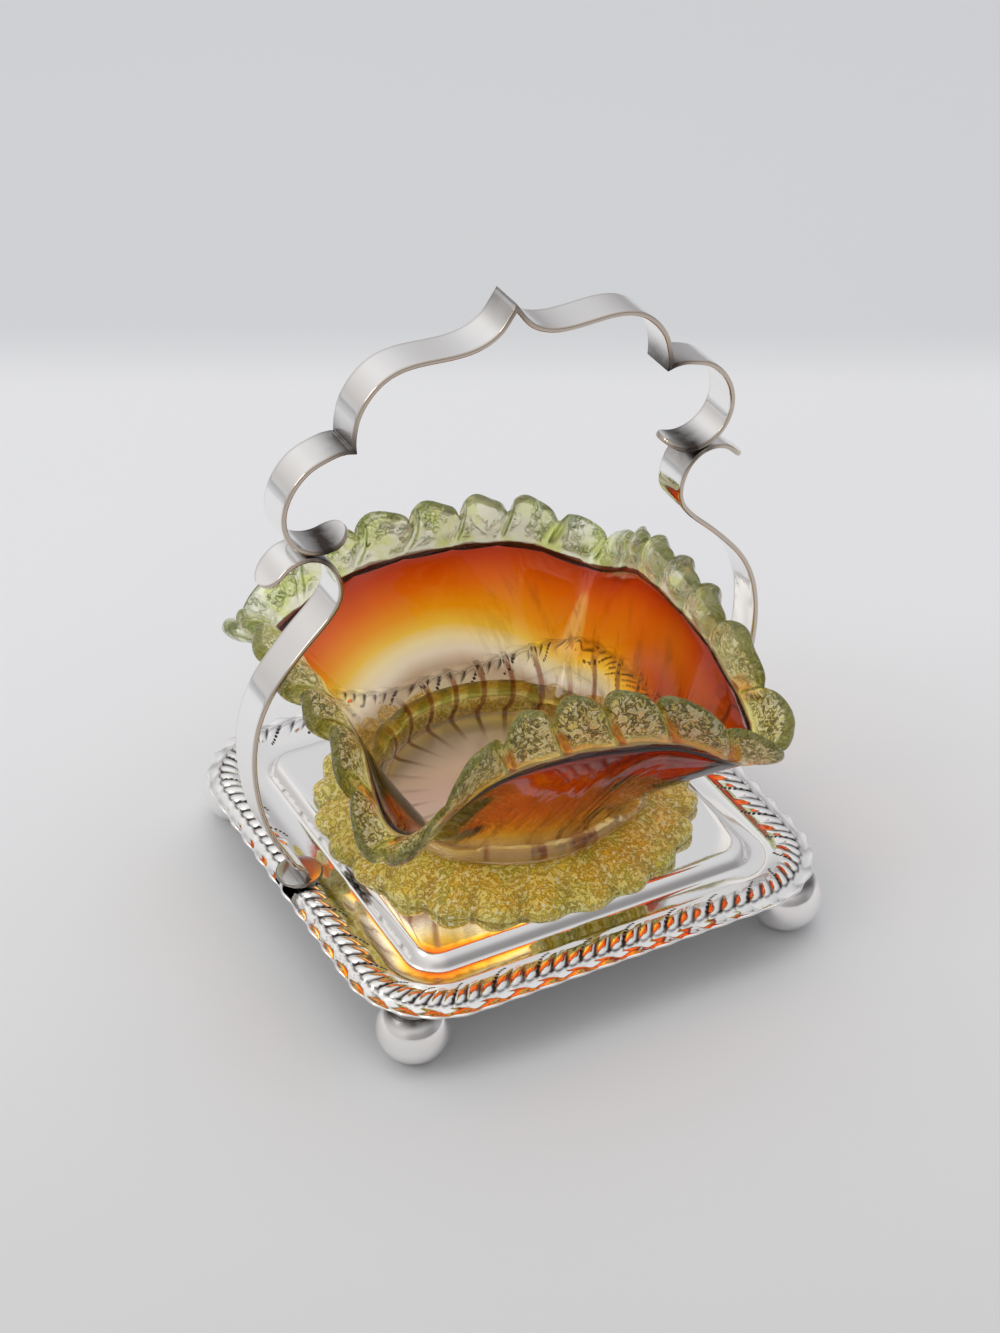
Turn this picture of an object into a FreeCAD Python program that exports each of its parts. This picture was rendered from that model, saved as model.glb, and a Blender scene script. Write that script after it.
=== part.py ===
import FreeCAD, Part
import math
import os

# Bonbon dish: a crimped glass dish with a frilled rim and a frilled foot stands loose on a
# plated tray with four ball feet and a hoop handle of bent flat strips.
# Millimetres, +Z up. The origin is on the table under the middle of the tray. X runs along the
# handle from foot to foot. Y runs across the handle, and the front is at -Y.

# Tray, one pressed sheet
tray_side = 150.0
tray_corner_radius = 28.5
tray_edge_height = 20.9
sheet_thickness = 1.0
border_width = 19.0
shoulder_width = 3.8
plateau_rise = 4.4
bead_rise = 1.5
scallops_per_side = 15
scallop_depth = 1.1
scallop_lift = 0.7
poles_per_scallop = 6

# Ball feet, each a pressed ball with a cap in its open top
ball_radius = 10.6
ball_wall = 0.9
ball_worn_depth = 0.2
ball_inset = 13.8
cap_radius = 6.6
cap_thickness = 1.3
cap_spigot_depth = 1.2
cap_sink = 0.4

# Handle, six bent strips joined end to end
handle_height = 193.2
handle_overhang = 6.8
strip_width = 12.1
strip_thickness = 1.5
pad_radius = 6.9

# Glass dish, four-cornered, turned a little on the tray
dish_turn_degrees = -6.0
base_radius = 38.0
base_rise = 3.3
base_thickness = 3.0
base_edge_radius = 2.2
wall_thickness = 2.4
rim_mean_radius = 60.4
rim_corner_reach = 4.1
rim_stretch = 1.8
rim_rise = 54.3
rim_corner_drop = 1.9
fold_reach = 10.4
fold_drop = 14.0
fold_degrees = 12.7
side_flare_power = 0.8
corner_flare_power = 1.15
upright_share = 0.16
wall_rise_shares = [0.08, 0.17, 0.28, 0.41, 0.55, 0.70, 0.84, 0.94, 1.00]
wall_slope_share = 0.01
bowl_poles_around = 120

# Frill along the rim
rim_frill_lobes = 28
rim_frill_lobe_height = 16.6
rim_frill_valley_height = 10.0
rim_frill_corner_shortening_share = 0.1
rim_frill_half_thickness = 2.0
rim_frill_wave = 2.6
rim_frill_skew_degrees = -2.6
rim_frill_start_degrees = 9.5
rim_frill_spread_degrees = 3.4
rim_frill_fan_degrees = 13.0
rim_frill_turn_share = 0.3
rim_frill_poles_per_lobe = 8

# Rise of the rim's frill over the level on the four sides, right, back, left and front, and on
# the four corners, back, left, front and right: the crimping left each of them different
rim_frill_side_degrees = [85.0, 92.0, 32.0, 108.0]
rim_frill_corner_degrees = [50.0, 6.0, 4.0, 38.0]

# Oval cord of glass laid round the waist
waist_rise = 12.6
waist_half_width = 2.0
waist_half_height = 2.9
waist_poles = 10
waist_stand_off = 0.7

# Frill that the dish stands on
foot_frill_lobes = 24
foot_frill_radius = 58.2
foot_frill_notch = 3.0
foot_frill_inner_radius = 35.0
foot_frill_top_rise = 8.2
foot_frill_top_width = 4.0
foot_frill_edge_thickness = 4.6
foot_frill_valley_thickness = 2.6
foot_frill_poles_per_lobe = 8

# Fullness of the lobes of both frills: below 1 the lobes are wide and the notches narrow
lobe_power = 0.7

# Clearances and overruns
seat_gap = 0.3
solder_gap = 0.2
overrun = 3.0

# Section of the tray's shoulder, from the plateau out: how far out across it, how far down
shoulder_section_shares = [(0.00, 0.00), (0.20, 0.00), (0.55, 0.35), (0.85, 0.85)]

# Section of the tray's border, from the shoulder out to the edge: how far out across it, how
# high over the edge in bead heights
border_section_shares = [
    (0.00, 0.05),
    (0.12, 0.00),
    (0.26, 0.00),
    (0.36, 0.45),
    (0.47, 1.05),
    (0.58, 1.25),
    (0.69, 1.00),
    (0.79, 0.30),
    (0.88, -0.15),
    (0.95, 0.00),
]
scallop_start_share = 0.75

# Section of the rim's frill: how far out from its middle in half thicknesses, how high
rim_frill_section_shares = [
    (-1.00, 0.00), (-1.25, 0.28), (-1.10, 0.62), (-0.75, 0.92), (0.00, 1.03),
    (0.75, 0.92), (1.10, 0.62), (1.25, 0.28), (1.00, 0.00),
]

# Centre lines of the strips of one half of the handle: how far out in handle reach, how high
# between the foot pads and the top
ogee_shares = [
    (0.000, 1.0046), (0.028, 0.9852), (0.055, 0.9692), (0.090, 0.9578), (0.139, 0.9493),
    (0.196, 0.9459), (0.263, 0.9464), (0.324, 0.9481), (0.379, 0.9481), (0.432, 0.9441),
    (0.478, 0.9350), (0.518, 0.9202), (0.550, 0.9020), (0.574, 0.8803), (0.587, 0.8564),
    (0.5915, 0.8393), (0.591, 0.8244),
]
lobe_shares = [
    (0.591, 0.8244), (0.620, 0.8273), (0.656, 0.8262), (0.698, 0.8210), (0.742, 0.8130),
    (0.781, 0.7994), (0.813, 0.7811), (0.836, 0.7595), (0.847, 0.7378), (0.846, 0.7167),
    (0.834, 0.6968), (0.810, 0.6785), (0.775, 0.6648), (0.732, 0.6569), (0.687, 0.6557),
    (0.642, 0.6626), (0.603, 0.6745),
]
leg_shares = [
    (0.921, 0.6067), (0.884, 0.6215), (0.843, 0.6398), (0.797, 0.6483), (0.751, 0.6472),
    (0.711, 0.6375), (0.680, 0.6204), (0.661, 0.5987), (0.654, 0.5742), (0.662, 0.5543),
    (0.686, 0.5349), (0.724, 0.5144), (0.774, 0.4916), (0.825, 0.4665), (0.874, 0.4403),
    (0.917, 0.4135), (0.954, 0.3816), (0.979, 0.3485), (0.994, 0.3114), (1.000, 0.2704),
    (0.996, 0.2288), (0.984, 0.1849), (0.963, 0.1433), (0.934, 0.1062), (0.898, 0.0720),
    (0.862, 0.0413), (0.826, 0.0162),
]
strip_samples = 72

# Places that follow from the sizes above
plateau_height = tray_edge_height + plateau_rise
bead_top = tray_edge_height + bead_rise * max(rise for across, rise in border_section_shares)
tray_half = tray_side / 2
ball_place = tray_half - ball_inset
handle_half_reach = tray_half + handle_overhang
pad_bottom = bead_top + solder_gap
pad_level = pad_bottom + strip_thickness / 2
pad_place = handle_half_reach * leg_shares[-1][0]
straight_half = tray_half - tray_corner_radius
outline_length = 8 * straight_half + 2 * math.pi * tray_corner_radius
cap_top = tray_edge_height - sheet_thickness - cap_sink
ball_top = cap_top - cap_thickness
ball_centre_height = ball_radius - ball_worn_depth
base_bottom = plateau_height + base_rise
collar_radius = base_radius + seat_gap
foot_frill_top = plateau_height + foot_frill_top_rise
waist_height = plateau_height + waist_rise
dish_turn = math.radians(dish_turn_degrees)

os.makedirs("parts", exist_ok=True)


def vector(x, y, z):
    return FreeCAD.Vector(x, y, z)


def save(shape, name):
    """Write one sub-part and print what it is."""
    print(name, shape.isValid(), len(shape.Solids), round(shape.Volume))
    shape.exportStep("parts/" + name + ".step")


def ring_surface(rows, closed_section):
    """Smooth surface round the axis through rows of points, one row for each step round it.

    The rows close on themselves, and the section closes too if closed_section says so."""
    around = len(rows)
    across = len(rows[0])
    degree = 3
    around_knots = list(range(around + 1))
    around_counts = [1] * (around + 1)
    if closed_section:
        across_knots = list(range(across + 1))
        across_counts = [1] * (across + 1)
    else:
        across_knots = list(range(across - degree + 1))
        across_counts = [degree + 1] + [1] * (across - degree - 1) + [degree + 1]
    surface = Part.BSplineSurface()
    surface.buildFromPolesMultsKnots(rows, around_counts, across_counts, around_knots,
                                     across_knots, True, closed_section, degree, degree)
    return surface


def solid_of(faces):
    shell = Part.makeShell(faces)
    if len(faces) > 1:
        shell.sewShape()
    solid = Part.makeSolid(shell)
    if solid.Volume < 0:
        solid.reverse()
    return solid


def capped_solid(rows):
    """Solid between a surface whose first and last points lie level, and the flat discs there."""
    surface = ring_surface(rows, False)
    side = surface.toShape()
    first_parameter, last_parameter = surface.bounds()[2:]
    discs = []
    for parameter in (first_parameter, last_parameter):
        edge = surface.vIso(parameter).toShape()
        discs.append(Part.Face(Part.Wire([edge])))
    return solid_of([side] + discs)


def tray_outline(share):
    """Point on the tray's rounded square and its outward direction, by the share of its length."""
    quarter = outline_length / 4
    travelled = share * outline_length + quarter / 2
    turns = int(travelled // quarter)
    along = travelled - turns * quarter
    straight = 2 * straight_half
    if along < straight:
        x = tray_half
        y = along - straight_half
        direction = 0
    else:
        direction = (along - straight) / tray_corner_radius
        x = straight_half + tray_corner_radius * math.cos(direction)
        y = straight_half + tray_corner_radius * math.sin(direction)
    turn = turns * math.pi / 2
    cos_turn = math.cos(turn)
    sin_turn = math.sin(turn)
    point = (x * cos_turn - y * sin_turn, x * sin_turn + y * cos_turn)
    normal = (math.cos(direction + turn), math.sin(direction + turn))
    return point, normal


def tray_section():
    """Top of the sheet from the shoulder's top out to the edge: distance in from the edge,
    height, and how much of the scallop's wave it takes."""
    section = []
    for across, down in shoulder_section_shares:
        inward = border_width + shoulder_width * (1 - across)
        section.append((inward, plateau_height - plateau_rise * down, 0))
    for across, rise in border_section_shares:
        inward = border_width * (1 - across)
        wave = max(0, (across - scallop_start_share) / (1 - scallop_start_share)) ** 2
        section.append((inward, tray_edge_height + bead_rise * rise, wave))
    section.append((0, tray_edge_height, 1))
    return section


def tray():
    top_side = tray_section()
    under_side = [(inward, height - sheet_thickness, wave) for inward, height, wave in top_side]
    section = top_side + under_side[::-1]
    scallops = 4 * scallops_per_side
    steps = scallops * poles_per_scallop
    rows = []
    for step in range(steps):
        (x, y), (across_x, across_y) = tray_outline(step / steps)
        swing = math.cos(2 * math.pi * scallops * step / steps)
        row = []
        for inward, height, wave in section:
            inset = inward + wave * scallop_depth * (1 - swing) / 2
            lift = wave * scallop_lift * swing / 2
            row.append(vector(x - across_x * inset, y - across_y * inset, height + lift))
        rows.append(row)
    return capped_solid(rows)


def foot_ball():
    """Hollow ball about the Z axis, with a worn flat under it and an open top for its cap."""
    axis_top = vector(0, 0, ball_centre_height)
    inner_radius = ball_radius - ball_wall
    mouth_radius = cap_radius - ball_wall
    outer_mouth = math.sqrt(ball_radius ** 2 - (ball_top - ball_centre_height) ** 2)
    inner_mouth_height = ball_centre_height + math.sqrt(inner_radius ** 2 - mouth_radius ** 2)
    flat_radius = math.sqrt(ball_radius ** 2 - ball_centre_height ** 2)
    outer_side = vector(ball_radius, 0, ball_centre_height)
    inner_side = vector(inner_radius, 0, ball_centre_height)
    low = math.sqrt(0.5) * ball_radius
    inner_low = math.sqrt(0.5) * inner_radius
    inner_floor = ball_wall
    inner_flat = math.sqrt(inner_radius ** 2 - (ball_centre_height - inner_floor) ** 2)
    flat_edge = vector(flat_radius, 0, 0)
    mouth_edge = vector(outer_mouth, 0, ball_top)
    inner_mouth_edge = vector(mouth_radius, 0, inner_mouth_height)
    inner_flat_edge = vector(inner_flat, 0, inner_floor)
    edges = [
        Part.makeLine(vector(0, 0, 0), flat_edge),
        Part.Arc(flat_edge, vector(low, 0, ball_centre_height - low), outer_side).toShape(),
        Part.Arc(outer_side, outside_point(mouth_edge, outer_side, axis_top),
                 mouth_edge).toShape(),
        Part.makeLine(mouth_edge, vector(mouth_radius, 0, ball_top)),
        Part.makeLine(vector(mouth_radius, 0, ball_top), inner_mouth_edge),
        Part.Arc(inner_mouth_edge, outside_point(inner_mouth_edge, inner_side, axis_top),
                 inner_side).toShape(),
        Part.Arc(inner_side, vector(inner_low, 0, ball_centre_height - inner_low),
                 inner_flat_edge).toShape(),
        Part.makeLine(inner_flat_edge, vector(0, 0, inner_floor)),
        Part.makeLine(vector(0, 0, inner_floor), vector(0, 0, 0)),
    ]
    return Part.Face(Part.Wire(edges)).revolve(vector(0, 0, 0), vector(0, 0, 1), 360)


def outside_point(first, second, centre):
    """Middle of the arc between two points of one circle."""
    middle = (first + second) * 0.5 - centre
    return centre + middle.normalize() * (first - centre).Length


def foot_cap():
    """Round cap between a ball and the sheet, with a spigot that drops into the ball."""
    disc = Part.makeCylinder(cap_radius, cap_thickness, vector(0, 0, ball_top))
    spigot_radius = cap_radius - ball_wall - seat_gap
    spigot = Part.makeCylinder(spigot_radius, cap_spigot_depth,
                               vector(0, 0, ball_top - cap_spigot_depth))
    return disc.fuse(spigot).removeSplitter()


def centre_line(shares):
    """Points of a strip's centre line from its shares of the handle's reach and height."""
    rise = handle_height - pad_level
    return [vector(handle_half_reach * across, 0, pad_level + rise * up) for across, up in shares]


def strip(points, run_on_start, run_on_end):
    """Flat strip bent along a centre line, with either end run on straight if it is cut later."""
    curve = Part.BSplineCurve()
    curve.interpolate(points)
    first = curve.FirstParameter
    last = curve.LastParameter
    middle = []
    for sample in range(strip_samples + 1):
        place = first + (last - first) * sample / strip_samples
        middle.append((curve.value(place), curve.tangent(place)[0]))
    if run_on_start:
        point, tangent = middle[0]
        middle.insert(0, (point - tangent * overrun, tangent))
    if run_on_end:
        point, tangent = middle[-1]
        middle.append((point + tangent * overrun, tangent))
    sides = []
    for half in (strip_thickness / 2, -strip_thickness / 2):
        offset = [point + vector(-tangent.z, 0, tangent.x) * half for point, tangent in middle]
        side = Part.BSplineCurve()
        side.interpolate(offset)
        sides.append((side.toShape(), offset))
    (left, left_points), (right, right_points) = sides
    start = Part.makeLine(left_points[0], right_points[0])
    end = Part.makeLine(left_points[-1], right_points[-1])
    outline = Part.Wire(Part.__sortEdges__([left, end, right, start]))
    outline.translate(vector(0, -strip_width / 2, 0))
    return Part.Face(outline).extrude(vector(0, strip_width, 0))


def beyond(point, direction):
    """Block that fills the space past a plane through point, on the side of direction."""
    size = handle_height * 2
    block = Part.makeBox(size, size, size, vector(-size / 2, -size / 2, 0))
    block.Placement = FreeCAD.Placement(point, FreeCAD.Rotation(vector(0, 0, 1), direction))
    return block


def round_tip(piece, tip, outward):
    """Round the free end of a strip to a half circle, seen square on."""
    radius = strip_width / 2
    depth = 4 * strip_thickness
    face_normal = vector(-outward.z, 0, outward.x)
    corner = Part.makeBox(radius + overrun, strip_width + 2 * overrun, depth,
                          vector(-radius, -radius - overrun, -depth / 2))
    disc = Part.makeCylinder(radius, depth, vector(-radius, 0, -depth / 2))
    corner = corner.cut(disc)
    across = vector(0, 1, 0)
    matrix = FreeCAD.Matrix(outward.x, across.x, face_normal.x, tip.x,
                            outward.y, across.y, face_normal.y, tip.y,
                            outward.z, across.z, face_normal.z, tip.z,
                            0, 0, 0, 1)
    corner = corner.transformGeometry(matrix)
    return piece.cut(corner)


def cusp_plane():
    """Mitre where the ogee strip meets the lobe strip: a point, and a direction to the lobe."""
    ogee = centre_line(ogee_shares)
    lobe = centre_line(lobe_shares)
    up_ogee = (ogee[-2] - ogee[-1]).normalize()
    along_lobe = (lobe[1] - lobe[0]).normalize()
    split = (up_ogee + along_lobe).normalize()
    return lobe[0], vector(split.z, 0, -split.x)


def handle_ogee():
    piece = strip(centre_line(ogee_shares), True, True)
    joint, towards_lobe = cusp_plane()
    piece = piece.cut(beyond(joint, towards_lobe))
    return piece.cut(beyond(vector(0, 0, handle_height), vector(-1, 0, 0)))


def handle_lobe():
    points = centre_line(lobe_shares)
    piece = strip(points, True, False)
    joint, towards_lobe = cusp_plane()
    piece = piece.cut(beyond(joint, towards_lobe * -1))
    return round_tip(piece, points[-1], (points[-1] - points[-2]).normalize())


def handle_leg():
    """Leg strip with a scroll at its top and a round pad at its foot."""
    points = centre_line(leg_shares)
    tip = points[0]
    outward = (points[0] - points[1]).normalize()
    points.append(vector(pad_place, 0, pad_level + strip_thickness / 2))
    points.append(vector(pad_place - pad_radius / 2, 0, pad_level))
    piece = round_tip(strip(points, False, False), tip, outward)
    pad = Part.makeCylinder(pad_radius, strip_thickness, vector(pad_place, 0, pad_bottom))
    return piece.cut(beyond(vector(0, 0, pad_bottom), vector(0, 0, -1))).fuse(pad)


def corner_angle(angle):
    """Angle from the dish's back corner."""
    return angle - dish_turn - math.pi / 4


def fold(angle, half_angle):
    """1 on a corner of the rim, falling to 0 over about half_angle to either side."""
    quarter = math.pi / 2
    off_corner = (corner_angle(angle) + quarter / 2) % quarter - quarter / 2
    return math.exp(-(off_corner / half_angle) ** 2)


def rim_radius(angle):
    turned = corner_angle(angle)
    folded = fold(angle, math.radians(fold_degrees))
    return (rim_mean_radius + rim_corner_reach * math.cos(4 * turned)
            - rim_stretch * math.cos(2 * turned) + fold_reach * folded)


def rim_height(angle):
    turned = corner_angle(angle)
    folded = fold(angle, math.radians(fold_degrees))
    return (plateau_height + rim_rise - rim_corner_drop * math.cos(4 * turned)
            - fold_drop * folded)


def wall_point(angle, rise):
    """Radius and height of the bowl's outer face, by the share of the way up from base to rim.

    The wall is upright for a little way and then flares by a power of the share left."""
    cornerness = (1 + math.cos(4 * corner_angle(angle))) / 2
    power = side_flare_power + (corner_flare_power - side_flare_power) * cornerness
    flare = max(0, (rise - upright_share) / (1 - upright_share)) ** power
    radius = base_radius + (rim_radius(angle) - base_radius) * flare
    foot = base_bottom + base_edge_radius
    return radius, foot + (rim_height(angle) - foot) * rise


def wall_slope(angle, rise):
    """Unit direction up the wall, in radius and height."""
    low = wall_point(angle, rise - wall_slope_share)
    high = wall_point(angle, rise)
    return unit(high[0] - low[0], high[1] - low[1])


def unit(across, up):
    length = math.hypot(across, up)
    return across / length, up / length


def around(angle, radius, height):
    return vector(radius * math.cos(angle), radius * math.sin(angle), height)


def glass_bowl():
    """Thick base and a flared four-cornered wall, in one piece."""
    floor_height = base_bottom + base_thickness
    rows = []
    for step in range(bowl_poles_around):
        angle = 2 * math.pi * step / bowl_poles_around
        outer = [(base_radius - base_edge_radius, base_bottom),
                 (base_radius, base_bottom),
                 (base_radius, base_bottom + base_edge_radius)]
        inner = []
        for rise in wall_rise_shares:
            radius, height = wall_point(angle, rise)
            across, up = wall_slope(angle, rise)
            outer.append((radius, height))
            inner.append((radius - wall_thickness * up, height + wall_thickness * across))
        inner.insert(0, (base_radius - wall_thickness, floor_height + base_edge_radius))
        inner.insert(0, (base_radius - wall_thickness, floor_height))
        inner.insert(0, (base_radius - wall_thickness - base_edge_radius, floor_height))
        section = outer + inner[::-1]
        rows.append([around(angle, radius, height) for radius, height in section])
    return capped_solid(rows)


def frill_rise(angle):
    """Rise of the rim's frill over the level: shared out between the sides by the squared
    cosine, and taken over by the nearest corner's close to it."""
    rise = 0
    for side, degrees in enumerate(rim_frill_side_degrees):
        rise += degrees * max(0, math.cos(angle - dish_turn - side * math.pi / 2)) ** 2
    corner = round(corner_angle(angle) / (math.pi / 2)) % len(rim_frill_corner_degrees)
    fanned = fold(angle, math.radians(rim_frill_fan_degrees))
    return math.radians(rise + (rim_frill_corner_degrees[corner] - rise) * fanned)


def frill_direction(angle, high):
    """Direction of the rim's frill, in radius and height: on from the wall at its root, then
    at its own rise."""
    rise = frill_rise(angle)
    across, up = wall_slope(angle, 1)
    turned = min(1, high / rim_frill_turn_share)
    return unit(across + (math.cos(rise) - across) * turned, up + (math.sin(rise) - up) * turned)


def frill_place(share):
    """Angle by the share of the way round the rim's frill, whose lobes are narrower on the
    corners than along the sides."""
    even = 2 * math.pi * share + math.radians(rim_frill_start_degrees)
    spread = math.radians(rim_frill_spread_degrees)
    return even - spread * math.sin(4 * corner_angle(even))


def lobe_share(phase):
    """1 on the crest of a lobe and 0 in the notch beside it."""
    return (0.5 + 0.5 * math.cos(phase)) ** lobe_power


def rim_frill():
    """Crimped band that carries the bowl's wall on past the rim, tall at each lobe."""
    steps = rim_frill_lobes * rim_frill_poles_per_lobe
    skew = math.radians(rim_frill_skew_degrees)
    rows = []
    for step in range(steps):
        phase = 2 * math.pi * step / rim_frill_poles_per_lobe
        lobe = lobe_share(phase)
        tall = rim_frill_valley_height + (rim_frill_lobe_height - rim_frill_valley_height) * lobe
        place = frill_place(step / steps)
        fanned = fold(place, math.radians(rim_frill_fan_degrees))
        tall *= 1 - rim_frill_corner_shortening_share * fanned
        row = []
        for thick, high in rim_frill_section_shares:
            angle = place + skew * high
            radius, height = wall_point(angle, 1)
            across, up = wall_slope(angle, 1)
            radius -= up * wall_thickness / 2
            height += across * wall_thickness / 2
            across, up = frill_direction(angle, high)
            out = rim_frill_half_thickness * thick + rim_frill_wave * high * math.sin(phase)
            row.append(around(angle, radius + up * out + across * tall * high,
                              height - across * out + up * tall * high))
        rows.append(row)
    return solid_of([ring_surface(rows, True).toShape()])


def waist_ring():
    """Oval cord that lies against the bowl's wall all round."""
    foot = base_bottom + base_edge_radius
    rows = []
    for step in range(bowl_poles_around):
        angle = 2 * math.pi * step / bowl_poles_around
        rise = (waist_height - foot) / (rim_height(angle) - foot)
        radius, height = wall_point(angle, rise)
        across, up = wall_slope(angle, rise)
        row = []
        for pole in range(waist_poles):
            turned = 2 * math.pi * pole / waist_poles
            out = waist_stand_off + waist_half_width * (1 + math.cos(turned))
            along = waist_half_height * math.sin(turned)
            row.append(around(angle, radius + up * out + across * along,
                              height - across * out + up * along))
        rows.append(row)
    return solid_of([ring_surface(rows, True).toShape()])


def foot_frill():
    """Lobed skirt under the bowl, with a ledge for its base, cut flat where it stands."""
    steps = foot_frill_lobes * foot_frill_poles_per_lobe
    ledge = base_bottom - seat_gap
    top_edge = collar_radius + foot_frill_top_width
    under = plateau_height - overrun
    rows = []
    for step in range(steps):
        angle = 2 * math.pi * step / steps
        lobe = lobe_share(foot_frill_lobes * angle)
        edge = foot_frill_radius - foot_frill_notch * (1 - lobe)
        rise = (foot_frill_valley_thickness
                + (foot_frill_edge_thickness - foot_frill_valley_thickness) * lobe)
        section = [
            (foot_frill_inner_radius, under),
            (foot_frill_inner_radius, ledge),
            (collar_radius, ledge),
            (collar_radius, ledge),
            (collar_radius, foot_frill_top),
            (top_edge, foot_frill_top),
            ((top_edge + edge) / 2, (foot_frill_top + plateau_height + rise) / 2),
            (edge - rise / 3, plateau_height + rise),
            (edge, plateau_height + rise / 2),
            (edge - rise / 3, under),
        ]
        rows.append([around(angle, radius, height) for radius, height in section])
    skirt = solid_of([ring_surface(rows, True).toShape()])
    return skirt.cut(beyond(vector(0, 0, plateau_height), vector(0, 0, -1)))


def mirrored(piece):
    return piece.mirror(vector(0, 0, 0), vector(1, 0, 0))


def main():
    save(tray(), "tray_sheet")
    ball = foot_ball()
    cap = foot_cap()
    for end, y_side in (("front", -1), ("back", 1)):
        for side_name, x_side in (("left", -1), ("right", 1)):
            place = vector(x_side * ball_place, y_side * ball_place, 0)
            save(ball.translated(place), "foot_ball_" + end + "_" + side_name)
            save(cap.translated(place), "foot_cap_" + end + "_" + side_name)
    strips = {"leg": handle_leg(), "lobe": handle_lobe(), "ogee": handle_ogee()}
    for name, piece in strips.items():
        save(piece, "handle_" + name + "_right")
        save(mirrored(piece), "handle_" + name + "_left")
    save(glass_bowl(), "glass_bowl")
    save(rim_frill(), "glass_rim_frill")
    save(waist_ring(), "glass_waist_ring")
    save(foot_frill(), "glass_foot_frill")


main()
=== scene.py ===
import bpy
import numpy as np
from mathutils import Matrix


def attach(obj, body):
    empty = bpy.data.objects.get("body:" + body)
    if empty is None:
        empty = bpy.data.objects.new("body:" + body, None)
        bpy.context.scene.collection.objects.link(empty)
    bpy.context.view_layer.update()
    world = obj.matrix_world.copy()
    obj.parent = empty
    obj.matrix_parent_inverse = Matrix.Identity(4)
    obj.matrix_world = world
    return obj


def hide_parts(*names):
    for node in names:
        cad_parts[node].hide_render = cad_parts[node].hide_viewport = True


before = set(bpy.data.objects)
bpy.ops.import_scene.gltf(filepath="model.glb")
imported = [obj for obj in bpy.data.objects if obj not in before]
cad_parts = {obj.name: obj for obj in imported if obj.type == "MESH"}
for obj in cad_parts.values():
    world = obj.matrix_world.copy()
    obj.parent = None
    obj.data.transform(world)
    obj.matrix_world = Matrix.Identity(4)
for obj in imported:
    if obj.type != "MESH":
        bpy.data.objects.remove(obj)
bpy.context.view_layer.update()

# Sizes in millimetres, as in the part's own source. The origin is on the table under the middle
# of the tray, X runs along the handle and the front is at -Y.
MM = 0.001

# Tray
TRAY_HALF = 75.0
CORNER_RADIUS = 28.5
EDGE_HEIGHT = 20.9
SHEET_THICKNESS = 1.0
BORDER_WIDTH = 19.0
SHOULDER_WIDTH = 3.8
PLATEAU = 25.3
PLATEAU_RISE = 4.4
BEAD_RISE = 1.5
SCALLOPS = 60
SCALLOP_DEPTH = 1.1
SCALLOP_LIFT = 0.7
SCALLOP_START = 0.75
SHOULDER_SECTION = [(0.00, 0.00), (0.20, 0.00), (0.55, 0.35), (0.85, 0.85)]
BORDER_SECTION = [
    (0.00, 0.05), (0.12, 0.00), (0.26, 0.00), (0.36, 0.45), (0.47, 1.05),
    (0.58, 1.25), (0.69, 1.00), (0.79, 0.30), (0.88, -0.15), (0.95, 0.00),
]

# Ornament of the tray's border: a roll of reeds, a scalloped flange outside it and arcs of
# punched dots inside it
REEDS = 120
REED_HEIGHT = 0.8
REED_PITCH = 4.583
ORNAMENT_START = 12.3
FLANGE_WIDTH = 3.9
DOT_ARCS = 40
DOT_ARC_LENGTH = 13.75
DOT_STEP = 1.12
LAST_DOT = 6.5

# Feet
BALL_RADIUS = 10.6
BALL_WALL = 0.9
BALL_CENTRE = 10.4
BALL_TOP = 18.2
BALL_PLACE = 61.2
CAP_RADIUS = 6.6
CAP_TOP = 19.5
CAP_ROUNDING = 0.35
SPIGOT_DEPTH = 1.2
SPIGOT_GAP = 0.3
SPIGOT_BEVEL = 0.3

# Handle
HANDLE_HEIGHT = 193.2
HANDLE_REACH = 81.8
STRIP_WIDTH = 12.1
STRIP_THICKNESS = 1.5
STRIP_ROUNDING = 0.48
PAD_RADIUS = 6.9
PAD_ROUNDING = 0.5
PAD_PLACE = 67.57
PAD_BOTTOM = 22.975
PAD_LEVEL = PAD_BOTTOM + STRIP_THICKNESS / 2
OGEE = [
    (0.000, 1.0046), (0.028, 0.9852), (0.055, 0.9692), (0.090, 0.9578), (0.139, 0.9493),
    (0.196, 0.9459), (0.263, 0.9464), (0.324, 0.9481), (0.379, 0.9481), (0.432, 0.9441),
    (0.478, 0.9350), (0.518, 0.9202), (0.550, 0.9020), (0.574, 0.8803), (0.587, 0.8564),
    (0.5915, 0.8393), (0.591, 0.8244),
]
LOBE = [
    (0.591, 0.8244), (0.620, 0.8273), (0.656, 0.8262), (0.698, 0.8210), (0.742, 0.8130),
    (0.781, 0.7994), (0.813, 0.7811), (0.836, 0.7595), (0.847, 0.7378), (0.846, 0.7167),
    (0.834, 0.6968), (0.810, 0.6785), (0.775, 0.6648), (0.732, 0.6569), (0.687, 0.6557),
    (0.642, 0.6626), (0.603, 0.6745),
]
LEG = [
    (0.921, 0.6067), (0.884, 0.6215), (0.843, 0.6398), (0.797, 0.6483), (0.751, 0.6472),
    (0.711, 0.6375), (0.680, 0.6204), (0.661, 0.5987), (0.654, 0.5742), (0.662, 0.5543),
    (0.686, 0.5349), (0.724, 0.5144), (0.774, 0.4916), (0.825, 0.4665), (0.874, 0.4403),
    (0.917, 0.4135), (0.954, 0.3816), (0.979, 0.3485), (0.994, 0.3114), (1.000, 0.2704),
    (0.996, 0.2288), (0.984, 0.1849), (0.963, 0.1433), (0.934, 0.1062), (0.898, 0.0720),
    (0.862, 0.0413), (0.826, 0.0162),
]

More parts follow.
